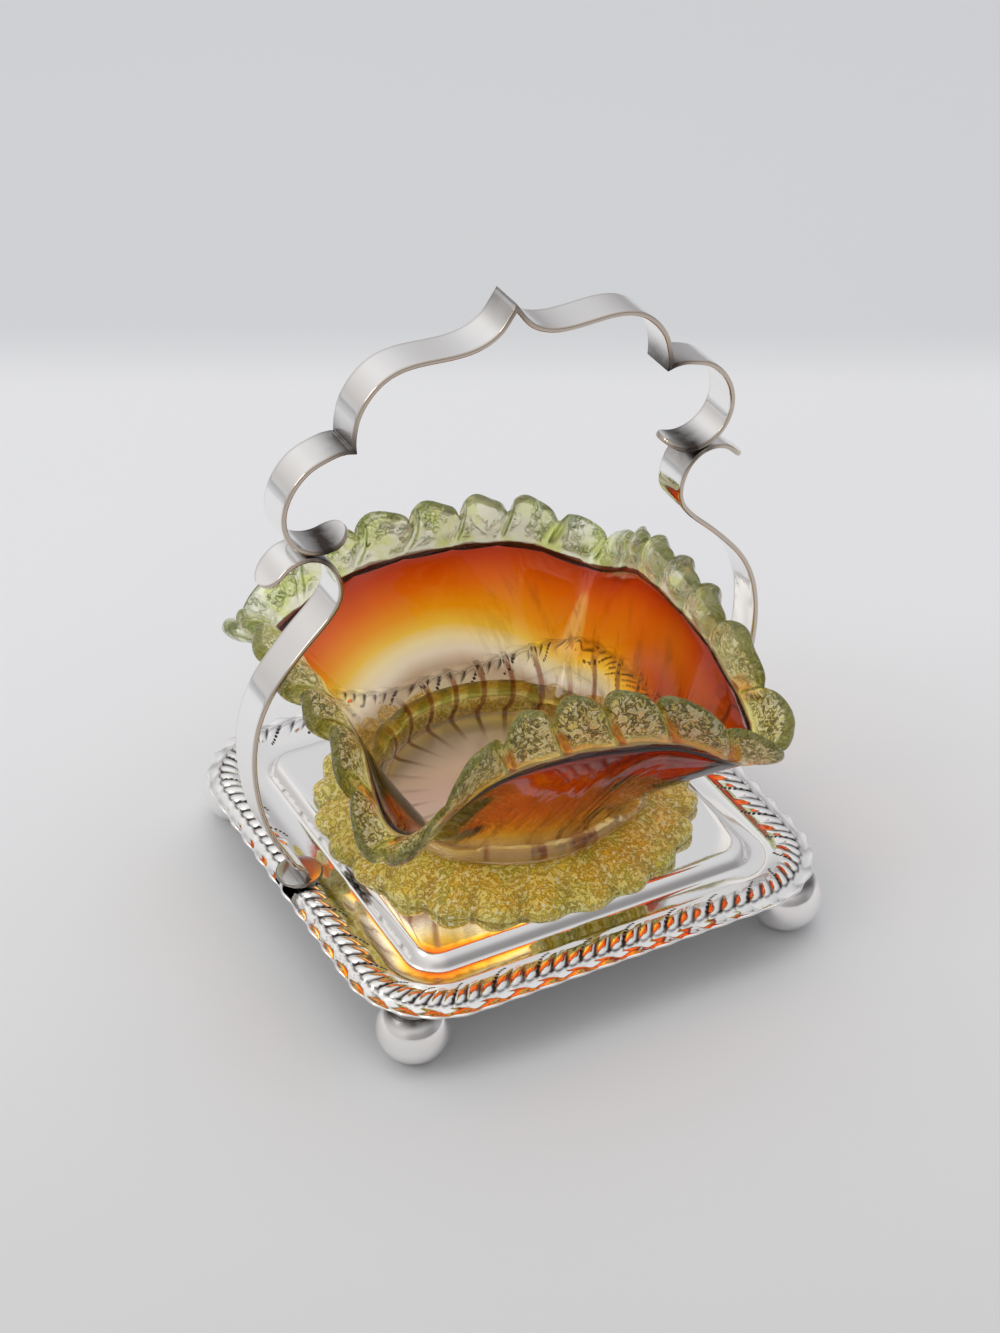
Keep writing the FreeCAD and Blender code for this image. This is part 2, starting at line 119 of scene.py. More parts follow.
# Stains at the handle's joints: how far out and how high, their reach and their depth
STAINS = [
    ((0.0, 193.0), 5.0, 0.55), ((48.3, 163.4), 6.0, 0.9), ((56.5, 134.4), 5.5, 1.0),
    ((67.6, 24.5), 4.0, 0.8), ((62.0, 132.5), 3.0, 0.8),
]

# Glass dish
DISH_TURN = np.radians(-6.0)
BASE_RADIUS = 38.0
BASE_BOTTOM = 28.6
FLOOR_TOP = 31.6
BASE_EDGE = 2.2
WALL = 2.4
WALL_FOOT = BASE_BOTTOM + BASE_EDGE
WALL_RISES = [0.08, 0.17, 0.28, 0.41, 0.55, 0.70, 0.84, 0.94, 1.00]
UPRIGHT_SHARE = 0.16
SLOPE_STEP = 0.01
RIM_RADIUS = 60.4
RIM_RISE = 54.3
CORNER_REACH = 4.1
CORNER_DROP = 1.9
RIM_STRETCH = 1.8
FOLD_REACH = 10.4
FOLD_DROP = 14.0
FOLD_DEGREES = 12.7
BOWL_POLES = 120

# Frill along the rim: its rise over the level on the right, back, left and front, then on the
# back, left, front and right corners
RIM_LOBES = 28
SIDE_RISES = [85.0, 92.0, 32.0, 108.0]
CORNER_RISES = [50.0, 6.0, 4.0, 38.0]
FRILL_START = np.radians(9.5)
FRILL_SPREAD = np.radians(3.4)
FRILL_SKEW = np.radians(-2.6)
FRILL_FAN_DEGREES = 13.0
FRILL_POLES_PER_LOBE = 16
FRILL_SECTION = [
    (-0.90, -0.12), (-1.00, 0.22), (-1.15, 0.48), (-1.25, 0.74), (-0.90, 0.97), (0.00, 1.06),
    (0.90, 0.97), (1.25, 0.74), (1.15, 0.48), (1.00, 0.22), (0.90, -0.12),
]

# Cord round the waist
WAIST_HEIGHT = 37.9
CORD_POLES = 10
CORD_HALF_WIDTH = 2.0
CORD_HALF_HEIGHT = 2.9
CORD_STAND_OFF = 0.7

# Frill that the dish stands on
FOOT_LOBES = 24
FOOT_RADIUS = 58.2
FOOT_INNER_RADIUS = 35.0
FOOT_NOTCH = 3.0
FOOT_GAP = 0.3
FOOT_LEDGE_WIDTH = 4.0
FOOT_TOP_RISE = 8.2
FOOT_UNDERCUT = 3.0

# Steps of the finished meshes
TRAY_STEPS = 1200
BOWL_MESH_STEPS = 480
DISC_SHARES = np.array([0.0, 0.35, 0.7, 0.93])
TRAY_DISC_SHARES = np.array([0.0, 0.4, 0.75, 0.96])


# Surfaces

def loop_weights(count, places):
    """How much each of count control points round a loop pulls at each place: the cubic bell of
    the distance between them. Places are counted in control points."""
    apart = np.abs((places[:, None] - np.arange(count) + count / 2) % count - count / 2)
    near = 2 / 3 - apart**2 + apart**3 / 2
    far = (2 - apart)**3 / 6
    return np.where(apart < 1, near, np.where(apart < 2, far, 0.0))


def even_weights(count, steps):
    """Those weights at so many even steps round."""
    return loop_weights(count, np.arange(steps) * count / steps)


def span_weights(count, places):
    """The weights of an open row that begins and ends on its own end points, by the recurrence of
    the cubic bells over doubled end knots. Places run from 0 to 1."""
    knots = np.concatenate([np.zeros(3), np.arange(count - 2), np.full(3, count - 3)])
    at = np.minimum(places * (count - 3), count - 3 - 1e-9)[:, None]
    weights = ((at >= knots[:-1]) & (at < knots[1:])).astype(float)
    for degree in (1, 2, 3):
        spans = len(knots) - 1 - degree
        ends = knots[degree + 1:degree + 1 + spans]
        rise = knots[degree:degree + spans] - knots[:spans]
        fall = ends - knots[1:spans + 1]
        up = (at - knots[:spans]) / np.where(rise > 0, rise, 1) * (rise > 0)
        down = (ends - at) / np.where(fall > 0, fall, 1) * (fall > 0)
        weights = up * weights[:, :spans] + down * weights[:, 1:spans + 1]
    return weights


def smooth_surface(poles, around, across):
    """Points of the surface that control points (rows round, columns across, values) pull into
    shape, for the weights round it and across it."""
    return np.einsum("ri,ijk,cj->rck", around, poles, across)


def outward(points):
    """Unit normals of a grid that closes round: the cross product of its two directions."""
    round_step = np.roll(points, -1, 0) - np.roll(points, 1, 0)
    normal = np.cross(round_step, np.gradient(points, axis=1))
    return normal / np.maximum(np.linalg.norm(normal, axis=-1, keepdims=True), 1e-9)


def smoothstep(low, high, value):
    share = np.clip((value - low) / (high - low), 0, 1)
    return share * share * (3 - 2 * share)


def turns_of(steps):
    """Angles of so many even steps round, as a column."""
    return (2 * np.pi * np.arange(steps) / steps)[:, None]


def with_discs(points, shares):
    """Grid with a level disc added at either end: rings from the middle out to the end ring."""
    def disc(edge):
        return edge[:, None] * np.stack([shares, shares, np.ones(len(shares))], -1)

    return np.concatenate([disc(points[:, 0]), points, disc(points[:, -1])[:, ::-1]], 1)


def piece_from_grid(name, points, closed, poles=(False, False), maps=None, uv=None):
    """Mesh of a grid of points in millimetres. Rows go round and columns go across; closed says
    which of the two close on themselves, and poles which end columns shrink to one point. A face
    joins each point with the next round and the next across, and all are turned outwards by the
    sign of the volume that they enclose."""
    rows, columns = points.shape[:2]
    index = np.arange(rows * columns).reshape(rows, columns)
    if poles[0]:
        index[:, 0] = index[0, 0]
    if poles[1]:
        index[:, -1] = index[0, -1]
    row, column = np.meshgrid(np.arange(rows if closed[0] else rows - 1),
                              np.arange(columns if closed[1] else columns - 1), indexing="ij")
    steps = np.array([(0, 0), (1, 0), (1, 1), (0, 1)])
    corner_row = (row[..., None] + steps[:, 0]).reshape(-1, 4)
    corner_column = (column[..., None] + steps[:, 1]).reshape(-1, 4)
    corners = index[corner_row % rows, corner_column % columns]
    first, second, third, fourth = points.reshape(-1, 3)[corners.T]
    volume = np.sum(first * (np.cross(second, third) + np.cross(third, fourth)))
    if volume < 0:
        corners, corner_row, corner_column = (
            grid[:, ::-1] for grid in (corners, corner_row, corner_column))
    keep = corners != np.roll(corners, -1, 1)
    counts = keep.sum(1)
    used, flat_corners = np.unique(corners[keep], return_inverse=True)
    mesh = bpy.data.meshes.new(name)
    mesh.vertices.add(len(used))
    mesh.vertices.foreach_set("co", (points.reshape(-1, 3)[used] * MM).astype(np.float32).ravel())
    mesh.loops.add(len(flat_corners))
    mesh.loops.foreach_set("vertex_index", flat_corners.astype(np.int32).ravel())
    mesh.polygons.add(len(counts))
    starts = np.concatenate([[0], np.cumsum(counts)[:-1]])
    mesh.polygons.foreach_set("loop_start", starts.astype(np.int32))
    mesh.polygons.foreach_set("use_smooth", np.ones(len(counts), bool))
    mesh.update(calc_edges=True)
    for key, values in (maps or {}).items():
        layer = mesh.attributes.new(key, "FLOAT", "POINT")
        layer.data.foreach_set("value", values.reshape(-1)[used].astype(np.float32))
    if uv is not None:
        layer = mesh.uv_layers.new(name="laid_out")
        pairs = np.stack([values[corner_row, corner_column] for values in uv], -1)
        layer.data.foreach_set("uv", pairs[keep].astype(np.float32).ravel())
    piece = bpy.data.objects.new(name, mesh)
    bpy.context.scene.collection.objects.link(piece)
    return piece


def finish_piece(piece, body, node, material):
    piece.data.materials.append(material)
    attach(piece, body)
    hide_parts(node)
    return piece


# Values that shaders work out at each point

class Value:
    """Number, place or colour that a shader works out at each point. Sums and products with
    other values or with plain numbers add the nodes that work them out."""

    def __init__(self, socket):
        self.socket = socket
        self.tree = socket.id_data

    def __add__(self, other):
        return reckon("ADD", self, other)

    def __sub__(self, other):
        return reckon("SUBTRACT", self, other)

    def __rsub__(self, other):
        return reckon("SUBTRACT", other, self)

    def __mul__(self, other):
        return reckon("MULTIPLY", self, other)

    def __truediv__(self, other):
        return reckon("DIVIDE", self, other)

    def __pow__(self, other):
        return reckon("POWER", self, other)

    def __abs__(self):
        return reckon("ABSOLUTE", self)


def feed(socket, value):
    """Set a node's input to a plain value, or link it to a value worked out by other nodes."""
    if isinstance(value, Value):
        value.tree.links.new(value.socket, socket)
    else:
        socket.default_value = value


def put(tree, kind, **values):
    """New node with its settings (set_...) and inputs, by name or by number (in_...)."""
    node = tree.nodes.new(kind)
    for key, value in values.items():
        if key.startswith("set_"):
            setattr(node, key[4:], value)
        elif key.startswith("in_"):
            feed(node.inputs[int(key[3:])], value)
        else:
            feed(node.inputs[key.replace("_", " ")], value)
    return node


def tree_of(*values):
    return next(value.tree for value in values if isinstance(value, Value))


def reckon(operation, *values):
    """Result of a sum on values and plain numbers."""
    inputs = {"in_" + str(number): value for number, value in enumerate(values)}
    node = put(tree_of(*values), "ShaderNodeMath", set_operation=operation, **inputs)
    return Value(node.outputs[0])


def rising(value, low, high):
    """0 below low, 1 above high, smooth between them."""
    node = put(value.tree, "ShaderNodeMapRange", set_interpolation_type="SMOOTHSTEP", Value=value,
               From_Min=low, From_Max=high)
    return Value(node.outputs[0])


def falling(value, low, high):
    """1 below low, 0 above high, smooth between them."""
    return 1.0 - rising(value, low, high)


def mix(share, first, second, how="MIX"):
    """Colour that goes from the first to the second as the share goes from 0 to 1."""
    first, second = ((*colour, 1) if isinstance(colour, tuple) else colour
                     for colour in (first, second))
    node = put(tree_of(share, first, second), "ShaderNodeMix", set_data_type="RGBA",
               set_blend_type=how, set_clamp_factor=True, in_0=share, in_6=first, in_7=second)
    return Value(node.outputs[2])


def colour_run(value, stops):
    """Colour that runs through the stops, each a place and a colour, as the value goes up."""
    node = put(value.tree, "ShaderNodeValToRGB", Fac=value)
    band = node.color_ramp
    for element, (place, colour) in zip(band.elements, (stops[0], stops[-1])):
        element.position = place
        element.color = (*colour, 1)
    for place, colour in stops[1:-1]:
        band.elements.new(place).color = (*colour, 1)
    return Value(node.outputs[0])


def noise(place, scale, detail=2.0, roughness=0.5):
    node = put(place.tree, "ShaderNodeTexNoise", Vector=place, Scale=scale, Detail=detail,
               Roughness=roughness)
    return Value(node.outputs["Fac"])


def attribute(tree, name):
    return Value(put(tree, "ShaderNodeAttribute", set_attribute_name=name).outputs["Fac"])


def object_place(tree):
    return Value(tree.nodes.new("ShaderNodeTexCoord").outputs["Object"])


def parts_of(place):
    """The three numbers of a place."""
    return [Value(part) for part in put(place.tree, "ShaderNodeSeparateXYZ", Vector=place).outputs]


def laid_out(tree):
    """The two values of the piece's own map."""
    return parts_of(Value(put(tree, "ShaderNodeUVMap", set_uv_map="laid_out").outputs[0]))[:2]


def place_at(x, y=0.0):
    return Value(put(x.tree, "ShaderNodeCombineXYZ", X=x, Y=y).outputs[0])


def bump(height, distance, strength=1.0):
    node = put(height.tree, "ShaderNodeBump", Height=height, Distance=distance, Strength=strength)
    return Value(node.outputs[0])


# Groups shared by the materials

def new_group(name, inputs, outputs):
    """Node group with a place and numbers given to it, and a colour or numbers as its outputs.
    Gives the group, the values given to it and its node of results."""
    group = bpy.data.node_groups.new(name, "ShaderNodeTree")
    group.interface.new_socket("Place", in_out="INPUT", socket_type="NodeSocketVector")
    for label, default in inputs.items():
        socket = group.interface.new_socket(label, in_out="INPUT", socket_type="NodeSocketFloat")
        socket.default_value = default
    for label in outputs:
        kind = "NodeSocketColor" if label == "Color" else "NodeSocketFloat"
        group.interface.new_socket(label, in_out="OUTPUT", socket_type=kind)
    return group, outputs_of(group.nodes.new("NodeGroupInput")), group.nodes.new("NodeGroupOutput")


def outputs_of(node):
    return {socket.name: Value(socket) for socket in node.outputs}


def use_group(tree, group, **values):
    return outputs_of(put(tree, "ShaderNodeGroup", set_node_tree=group, **values))


def worn_plate_group():
    """Plated metal: its colour darkens and warms with tarnish, and fine hair scratches and
    polishing waves give its height."""
    group, given, result = new_group("worn_plate", {"Tarnish": 0.0, "Brass": 0.0, "Waves": 0.5},
                                     ["Color", "Roughness", "Height"])
    place = given["Place"]
    cloud = noise(place, 90.0, 4.0, 0.6)
    speck = noise(place, 900.0, 3.0, 0.6)
    tarnish = reckon("MINIMUM", given["Tarnish"] * (cloud * 1.3 + 0.35), 1.0)
    plate = mix(cloud * 0.5, (0.97, 0.96, 0.945), (0.92, 0.905, 0.885))
    worn = mix(given["Brass"], plate, (0.62, 0.54, 0.46))
    stretched = put(group, "ShaderNodeMapping", Vector=place, Scale=(1.0, 14.0, 1.0),
                    Rotation=(0.3, 0.2, 0.6))
    hair = noise(Value(stretched.outputs[0]), 260.0, 2.0, 0.7)
    wave = noise(place, 26.0, 1.0, 0.3)
    feed(result.inputs["Color"], mix(tarnish, worn, (0.055, 0.045, 0.04)))
    feed(result.inputs["Roughness"], tarnish * 0.3 + cloud * 0.07 + 0.035)
    feed(result.inputs["Height"], wave * given["Waves"] + hair * 0.012 + speck * 0.006)
    return group


def crackle_group():
    """Crackled glass: the level lines of a bent noise drawn dark, others beside them painted light
    as highlights where the glass would bend the light, and the noise itself as the height."""
    group, given, result = new_group("crackled_glass", {"Grains": 430.0},
                                     ["Height", "Grooves", "Flecks"])
    place = given["Place"]
    bend = put(group, "ShaderNodeTexNoise", Vector=place, Scale=260.0, Detail=2.0)
    bent = put(group, "ShaderNodeVectorMath", set_operation="MULTIPLY_ADD",
               in_0=Value(bend.outputs["Color"]), in_1=(0.0045, 0.0045, 0.0045), in_2=place)
    level = noise(Value(bent.outputs[0]), given["Grains"], 2.0, 0.55)
    feed(result.inputs["Height"], level)
    feed(result.inputs["Grooves"], falling(abs(level - 0.46), 0.025, 0.085))
    # Painted highlights: thin light lines beside the dark crackle lines
    feed(result.inputs["Flecks"], falling(abs(level - 0.60), 0.02, 0.07))
    return group


WORN_PLATE = worn_plate_group()
CRACKLE = crackle_group()


# Metal

def new_material(name):
    material = bpy.data.materials.new(name)
    material.use_nodes = True
    material.node_tree.nodes.clear()
    return material, material.node_tree


def show(tree, shader, kind="ShaderNodeOutputMaterial"):
    """Link a shader to the tree's output."""
    tree.links.new(shader.outputs[0], tree.nodes.new(kind).inputs[0])


def punched_dots(tree):
    """Arcs of punched dots on the border. The map's first value is the length along the edge in
    arcs, the second the distance in from the edge in millimetres. A dot's cell is found by the
    length, its own place on the arc by a power of that, and its radius grows outwards."""
    length, distance_in = laid_out(tree)
    along = reckon("FRACT", length * -1.0) * DOT_ARC_LENGTH
    cell = reckon("FLOOR", along / DOT_STEP)
    centre = (cell + 0.5) * DOT_STEP
    off_along = along - centre
    off_in = distance_in + (centre / 7.0) ** 1.8 * 6.0 - ORNAMENT_START
    apart = reckon("SQRT", off_along * off_along + off_in * off_in)
    inside = falling(apart - (cell * 0.03 + 0.42), -0.10, 0.08)
    return inside * reckon("LESS_THAN", cell, LAST_DOT)


def silver(name, waves, worn=False, dots=False):
    """Polished plated metal, tarnished where the piece's map says so, with worn edges or punched
    dots if it has them."""
    material, tree = new_material(name)
    plate = {"Place": object_place(tree), "Waves": waves, "Tarnish": attribute(tree, "tarnish")}
    if worn:
        plate["Brass"] = attribute(tree, "worn")
    dents = None
    if dots:
        dents = punched_dots(tree)
        plate["Tarnish"] = reckon("MAXIMUM", plate["Tarnish"], dents)
    plate = use_group(tree, WORN_PLATE, **plate)
    relief = plate["Height"] - dents if dots else plate["Height"]
    show(tree, put(tree, "ShaderNodeBsdfPrincipled", Base_Color=plate["Color"],
                   Roughness=plate["Roughness"], Metallic=1.0, Normal=bump(relief, 0.0006)))
    return material


# Tray

def tray_outline(share):
    """Points on the tray's rounded square and their outward directions, by the share of its
    length: a straight side and a round corner, turned by the number of quarters gone by."""
    straight_half = TRAY_HALF - CORNER_RADIUS
    quarter = 2 * straight_half + np.pi / 2 * CORNER_RADIUS
    travelled = share * 4 * quarter + quarter / 2
    turns = np.floor(travelled / quarter)
    along = travelled - turns * quarter
    bend = np.maximum(0, along - 2 * straight_half) / CORNER_RADIUS
    straight = along < 2 * straight_half
    x = np.where(straight, TRAY_HALF, straight_half + CORNER_RADIUS * np.cos(bend))
    y = np.where(straight, along - straight_half, straight_half + CORNER_RADIUS * np.sin(bend))
    turn = turns * np.pi / 2
    point = np.stack([x * np.cos(turn) - y * np.sin(turn), x * np.sin(turn) + y * np.cos(turn)], -1)
    return point, np.stack([np.cos(bend + turn), np.sin(bend + turn)], -1)


def tray_relief(share, inward):
    """Height of the struck ornament over the plain border, and how deep in a recess a point is.

    Reeds: the size of a sine whose phase runs round the edge and slips back outwards by a power
    of the way across the roll. Scallops: a crease between each two on the outer flange."""
    out = np.clip(ORNAMENT_START - inward, 0, 8.6)
    slip = 7.0 * (out / 6.0) ** 0.556
    phase = 2 * np.pi * (REEDS * share + slip / REED_PITCH)
    ridge = np.abs(np.sin(phase / 2))
    third = np.floor(phase / (2 * np.pi)) % 3
    inner_end = 9.2 + 0.9 * np.sin(third * 2.1)
    roll = smoothstep(inner_end + 1.2, inner_end - 1.0, inward)
    roll = roll * smoothstep(FLANGE_WIDTH, FLANGE_WIDTH + 1.0, inward)
    relief = REED_HEIGHT * (ridge ** 0.7 - 0.5) * roll
    recess = (1 - smoothstep(0.08, 0.66, ridge)) * roll
    lip = 4.25 + 0.75 * (1 - ridge ** 2)
    recess += 0.9 * np.exp(-((inward - lip) / 0.34) ** 2)
    crease = np.abs(np.cos(np.pi * (SCALLOPS * share + 0.10 * inward))) ** 0.7
    flange = smoothstep(0.1, 0.7, inward) * smoothstep(FLANGE_WIDTH, FLANGE_WIDTH - 0.9, inward)
    relief += 0.5 * (crease - 0.6) * flange
    recess += 0.25 * (1 - smoothstep(0.0, 0.22, crease)) * flange
    return relief, np.clip(recess, 0, 1)


def pressed_tray():
    """Pressed sheet: the section of shoulder, roll and flange carried round the rounded square,
    its edge waved by a cosine for the scallops, the ornament raised along the normal, and both
    sides closed by level discs."""
    section = [(BORDER_WIDTH + SHOULDER_WIDTH * (1 - across), PLATEAU - PLATEAU_RISE * down, 0)
               for across, down in SHOULDER_SECTION]
    section += [(BORDER_WIDTH * (1 - across), EDGE_HEIGHT + BEAD_RISE * rise,
                 max(0, (across - SCALLOP_START) / (1 - SCALLOP_START)) ** 2)
                for across, rise in BORDER_SECTION]
    section.append((0, EDGE_HEIGHT, 1))
    section += [(inward, height - SHEET_THICKNESS, wave) for inward, height, wave in section[::-1]]
    inward, height, wave = np.array(section, float).T
    pole_count = 6 * SCALLOPS
    pole_share = np.arange(pole_count) / pole_count
    point, direction = tray_outline(pole_share)
    swing = np.cos(2 * np.pi * SCALLOPS * pole_share)[:, None]
    inset = inward + wave * SCALLOP_DEPTH * (1 - swing) / 2
    poles = np.concatenate([point[:, None] - direction[:, None] * inset[..., None],
                            (height + wave * SCALLOP_LIFT * swing / 2)[..., None]], -1)
    share = np.arange(TRAY_STEPS) / TRAY_STEPS
    places = np.concatenate([np.linspace(0, 0.5, 56), np.linspace(0.5, 1, 12)[1:]])
    across = span_weights(len(section), places)
    points = smooth_surface(poles, even_weights(pole_count, TRAY_STEPS), across)
    distance_in = across @ inward
    on_top = places < 0.495
    relief, recess = tray_relief(share[:, None], distance_in[None, :])
    normal = outward(points)
    normal *= np.sign(normal[:, 5:6, 2:3].mean())
    points = with_discs(points + normal * (relief * on_top)[..., None], TRAY_DISC_SHARES)
    recess = np.pad(recess * on_top, ((0, 0), (4, 4)))
    from_edge = np.pad(np.where(on_top, distance_in, 60.0), 4, constant_values=60.0)
    turn_map = np.linspace(0, DOT_ARCS, TRAY_STEPS + 1)[:, None] + 0 * from_edge
    return piece_from_grid("pressed_tray", points, (True, False), (True, True),
                           {"tarnish": recess}, (turn_map, from_edge + 0 * turn_map))


# Feet

def turned(name, profile, centre, steps, tarnish, **maps):
    """Solid of revolution: the profile of radii and heights turned about an upright axis."""
    radius, height = np.array(profile, float).T
    angle = turns_of(steps)
    points = np.stack([centre[0] + radius * np.cos(angle), centre[1] + radius * np.sin(angle),
                       height + 0 * angle], -1)
    maps = {key: values + 0 * points[..., 0]
            for key, values in {"tarnish": tarnish, **maps}.items()}
    return piece_from_grid(name, points, (True, False), (True, True), maps)


def arc(centre, radius, first, last, count):
    turn = np.radians(np.linspace(first, last, count))
    return np.stack([centre[0] + radius * np.cos(turn), centre[1] + radius * np.sin(turn)], -1)


def rounded_edge(radius, low, high, rounding, count):
    """Side of a flat round piece from its underside to its top, with both edges rounded."""
    return np.concatenate([arc((radius - rounding, low + rounding), rounding, -90, 0, count),
                           arc((radius - rounding, high - rounding), rounding, 0, 90, count)])


def foot_ball(name, x, y):
    """Hollow ball: outer arc from the worn flat to the mouth, over the lip and back inside."""
    inner = BALL_RADIUS - BALL_WALL
    flat = np.sqrt(BALL_RADIUS**2 - BALL_CENTRE**2)
    mouth = CAP_RADIUS - BALL_WALL
    low = -np.degrees(np.arccos(flat / BALL_RADIUS))
    high = np.degrees(np.arcsin((BALL_TOP - BALL_CENTRE) / BALL_RADIUS))
    inner_high = np.degrees(np.arccos(mouth / inner))
    inner_low = -np.degrees(np.arcsin((BALL_CENTRE - BALL_WALL) / inner))
    profile = np.concatenate([
        [(0, 0), (flat * 0.8, 0)],
        arc((0, BALL_CENTRE), BALL_RADIUS, low, high, 60),
        [(mouth, BALL_TOP)],
        arc((0, BALL_CENTRE), inner, inner_high, inner_low, 24),
        [(0, BALL_WALL)],
    ])
    height = profile[:, 1]
    stain = smoothstep(15.5, BALL_TOP, height) * 0.85 + smoothstep(1.6, 0.2, height) * 0.5
    return turned(name, profile, (x, y), 120, stain)


def foot_cap(name, x, y):
    """Cap: a disc with rounded rims over a spigot that drops into the ball."""
    spigot = CAP_RADIUS - BALL_WALL - SPIGOT_GAP
    foot = BALL_TOP - SPIGOT_DEPTH
    profile = np.concatenate([
        [(0, foot), (spigot - SPIGOT_BEVEL, foot), (spigot, foot + SPIGOT_BEVEL),
         (spigot, BALL_TOP), (CAP_RADIUS - CAP_ROUNDING, BALL_TOP)],
        rounded_edge(CAP_RADIUS, BALL_TOP, CAP_TOP, CAP_ROUNDING, 6),
        [(0, CAP_TOP)],
    ])
    return turned(name, profile, (x, y), 72, 0.65)


# Handle

def line_through(points):
    """Fine points and unit directions along the smooth line through given points: cubics by the
    distance between them, whose bending dies away at both ends. The bending at each point comes
    from one set of linear equations."""
    gap = np.linalg.norm(np.diff(points, axis=0), axis=1)
    knot = np.concatenate([[0], np.cumsum(gap)])
    count = len(points)
    system = np.eye(count)
    inner = np.arange(1, count - 1)
    system[inner, inner] = 2 * (gap[:-1] + gap[1:])
    system[inner, inner - 1] = gap[:-1]
    system[inner, inner + 1] = gap[1:]
    known = np.zeros((count, 2))
    slope = np.diff(points, axis=0) / gap[:, None]
    known[1:-1] = 6 * np.diff(slope, axis=0)
    bending = np.linalg.solve(system, known)
    place = np.linspace(0, knot[-1], 1500)
    span = np.clip(np.searchsorted(knot, place, side="right") - 1, 0, count - 2)
    width = gap[span][:, None]
    before = (knot[span + 1] - place)[:, None]
    after = (place - knot[span])[:, None]
    line = (bending[span] * before**3 + bending[span + 1] * after**3) / (6 * width)
    line += (points[span] / width - bending[span] * width / 6) * before
    line += (points[span + 1] / width - bending[span + 1] * width / 6) * after
    direction = np.gradient(line, axis=0)
    return line, direction / np.linalg.norm(direction, axis=1, keepdims=True)


def strip_section(half_width):
    """Flat strip's section for each place along it: a rectangle with rounded corners, a few more
    points across its broad faces, and how worn each point is."""
    half_thickness = STRIP_THICKNESS / 2
    turn = np.radians(np.array([0, 22.5, 45, 67.5, 90]))
    rounding = np.minimum(STRIP_ROUNDING, half_width)[:, None]
    side = half_width[:, None] - rounding
    corner_y = side + rounding * np.cos(turn)
    corner_z = half_thickness - STRIP_ROUNDING + STRIP_ROUNDING * np.sin(turn) + 0 * side
    broad_y = np.maximum(side - 0.9, 0) * np.array([1, 0.5, 0, -0.5, -1])
    y = np.concatenate([corner_y, broad_y, -corner_y[:, ::-1]], 1)
    z = np.concatenate([corner_z, half_thickness + 0 * broad_y, corner_z[:, ::-1]], 1)
    worn = np.array([1, 1, 1, 1, 0.25, 0, 0, 0, 0, 0, 0.25, 1, 1, 1, 1]) + 0 * side
    return [np.concatenate(halves, 1) for halves in ((y, -y), (z, -z), (worn, worn))]


def tip_width(from_tip):
    """Half width of a strip close to a free tip: the half chord of a circle at that distance."""
    radius = STRIP_WIDTH / 2
    return np.sqrt(np.maximum(radius**2 - np.maximum(radius - from_tip, 0)**2, 1e-4))


def bent_strip(name, shares, side, round_start=False, round_end=False, start_cut=None, end_cut=None,
               foot=False):
    """Flat strip carried along a bent line in the handle's plane. Close to a free tip its half
    width is the chord of a circle; a mitred end has its last ring slid along the strip onto the
    plane of the mitre."""
    rise = HANDLE_HEIGHT - PAD_LEVEL
    route = np.array([(HANDLE_REACH * across, PAD_LEVEL + rise * up) for across, up in shares])
    if foot:
        route = np.concatenate([route, [(PAD_PLACE, PAD_LEVEL + STRIP_THICKNESS / 2),
                                        (PAD_PLACE - PAD_RADIUS / 2, PAD_LEVEL)]])
    line, direction = line_through(route)
    length = np.concatenate([[0], np.cumsum(np.linalg.norm(np.diff(line, axis=0), axis=1))])
    tip = STRIP_WIDTH / 2 * (1 - np.cos(np.linspace(0, np.pi / 2, 16)))
    plain = np.array([0, 0.8, 2, 4])
    start = tip if round_start else plain
    end = length[-1] - (tip if round_end else plain)[::-1]
    places = np.concatenate([start, np.linspace(start[-1], end[0], 190)[1:-1], end])
    centre, ahead = (np.stack([np.interp(places, length, values[:, k]) for k in (0, 1)], -1)
                     for values in (line, direction))
    ahead /= np.linalg.norm(ahead, axis=1, keepdims=True)
    half_width = np.full(len(places), STRIP_WIDTH / 2)
    if round_start:
        half_width = np.minimum(half_width, tip_width(places))
    if round_end:
        half_width = np.minimum(half_width, tip_width(length[-1] - places))
    across, up, worn = strip_section(half_width)
    x = centre[:, :1] - ahead[:, 1:] * up
    z = centre[:, 1:] + ahead[:, :1] * up
    for ring, cut in ((0, start_cut), (-1, end_cut)):
        if cut is not None:
            off = (x[ring] - centre[ring, 0]) * cut[0] + (z[ring] - centre[ring, 1]) * cut[1]
            slide = off / (ahead[ring] @ np.array(cut))
            x[ring] -= ahead[ring, 0] * slide
            z[ring] -= ahead[ring, 1] * slide
    points = np.stack([side * x, across, z], -1)
    ends = [np.tile((side * centre[k, 0], 0, centre[k, 1]), (1, points.shape[1], 1))
            for k in (0, -1)]
    points = np.concatenate([ends[0], points, ends[1]]).swapaxes(0, 1)
    worn = np.concatenate([worn[:1], worn, worn[-1:]]).swapaxes(0, 1)
    flat = np.stack([np.abs(points[..., 0]), points[..., 2]], -1)
    stain = np.zeros(points.shape[:2])
    for spot, reach, depth in STAINS:
        apart = np.linalg.norm(flat - np.array(spot), axis=-1)
        stain = np.maximum(stain, depth * np.exp(-(apart / reach) ** 2))
    return piece_from_grid(name, points, (True, False), (True, True),
                           {"tarnish": stain, "worn": worn})


def cusp_normal():
    """Direction across the mitre where the ogee meets the lobe: square to the line that halves
    the angle between the two strips."""
    scale = np.array([HANDLE_REACH, HANDLE_HEIGHT - PAD_LEVEL])
    up = (np.array(OGEE[-2]) - np.array(OGEE[-1])) * scale
    along = (np.array(LOBE[1]) - np.array(LOBE[0])) * scale
    half = up / np.linalg.norm(up) + along / np.linalg.norm(along)
    half /= np.linalg.norm(half)
    return (half[1], -half[0])


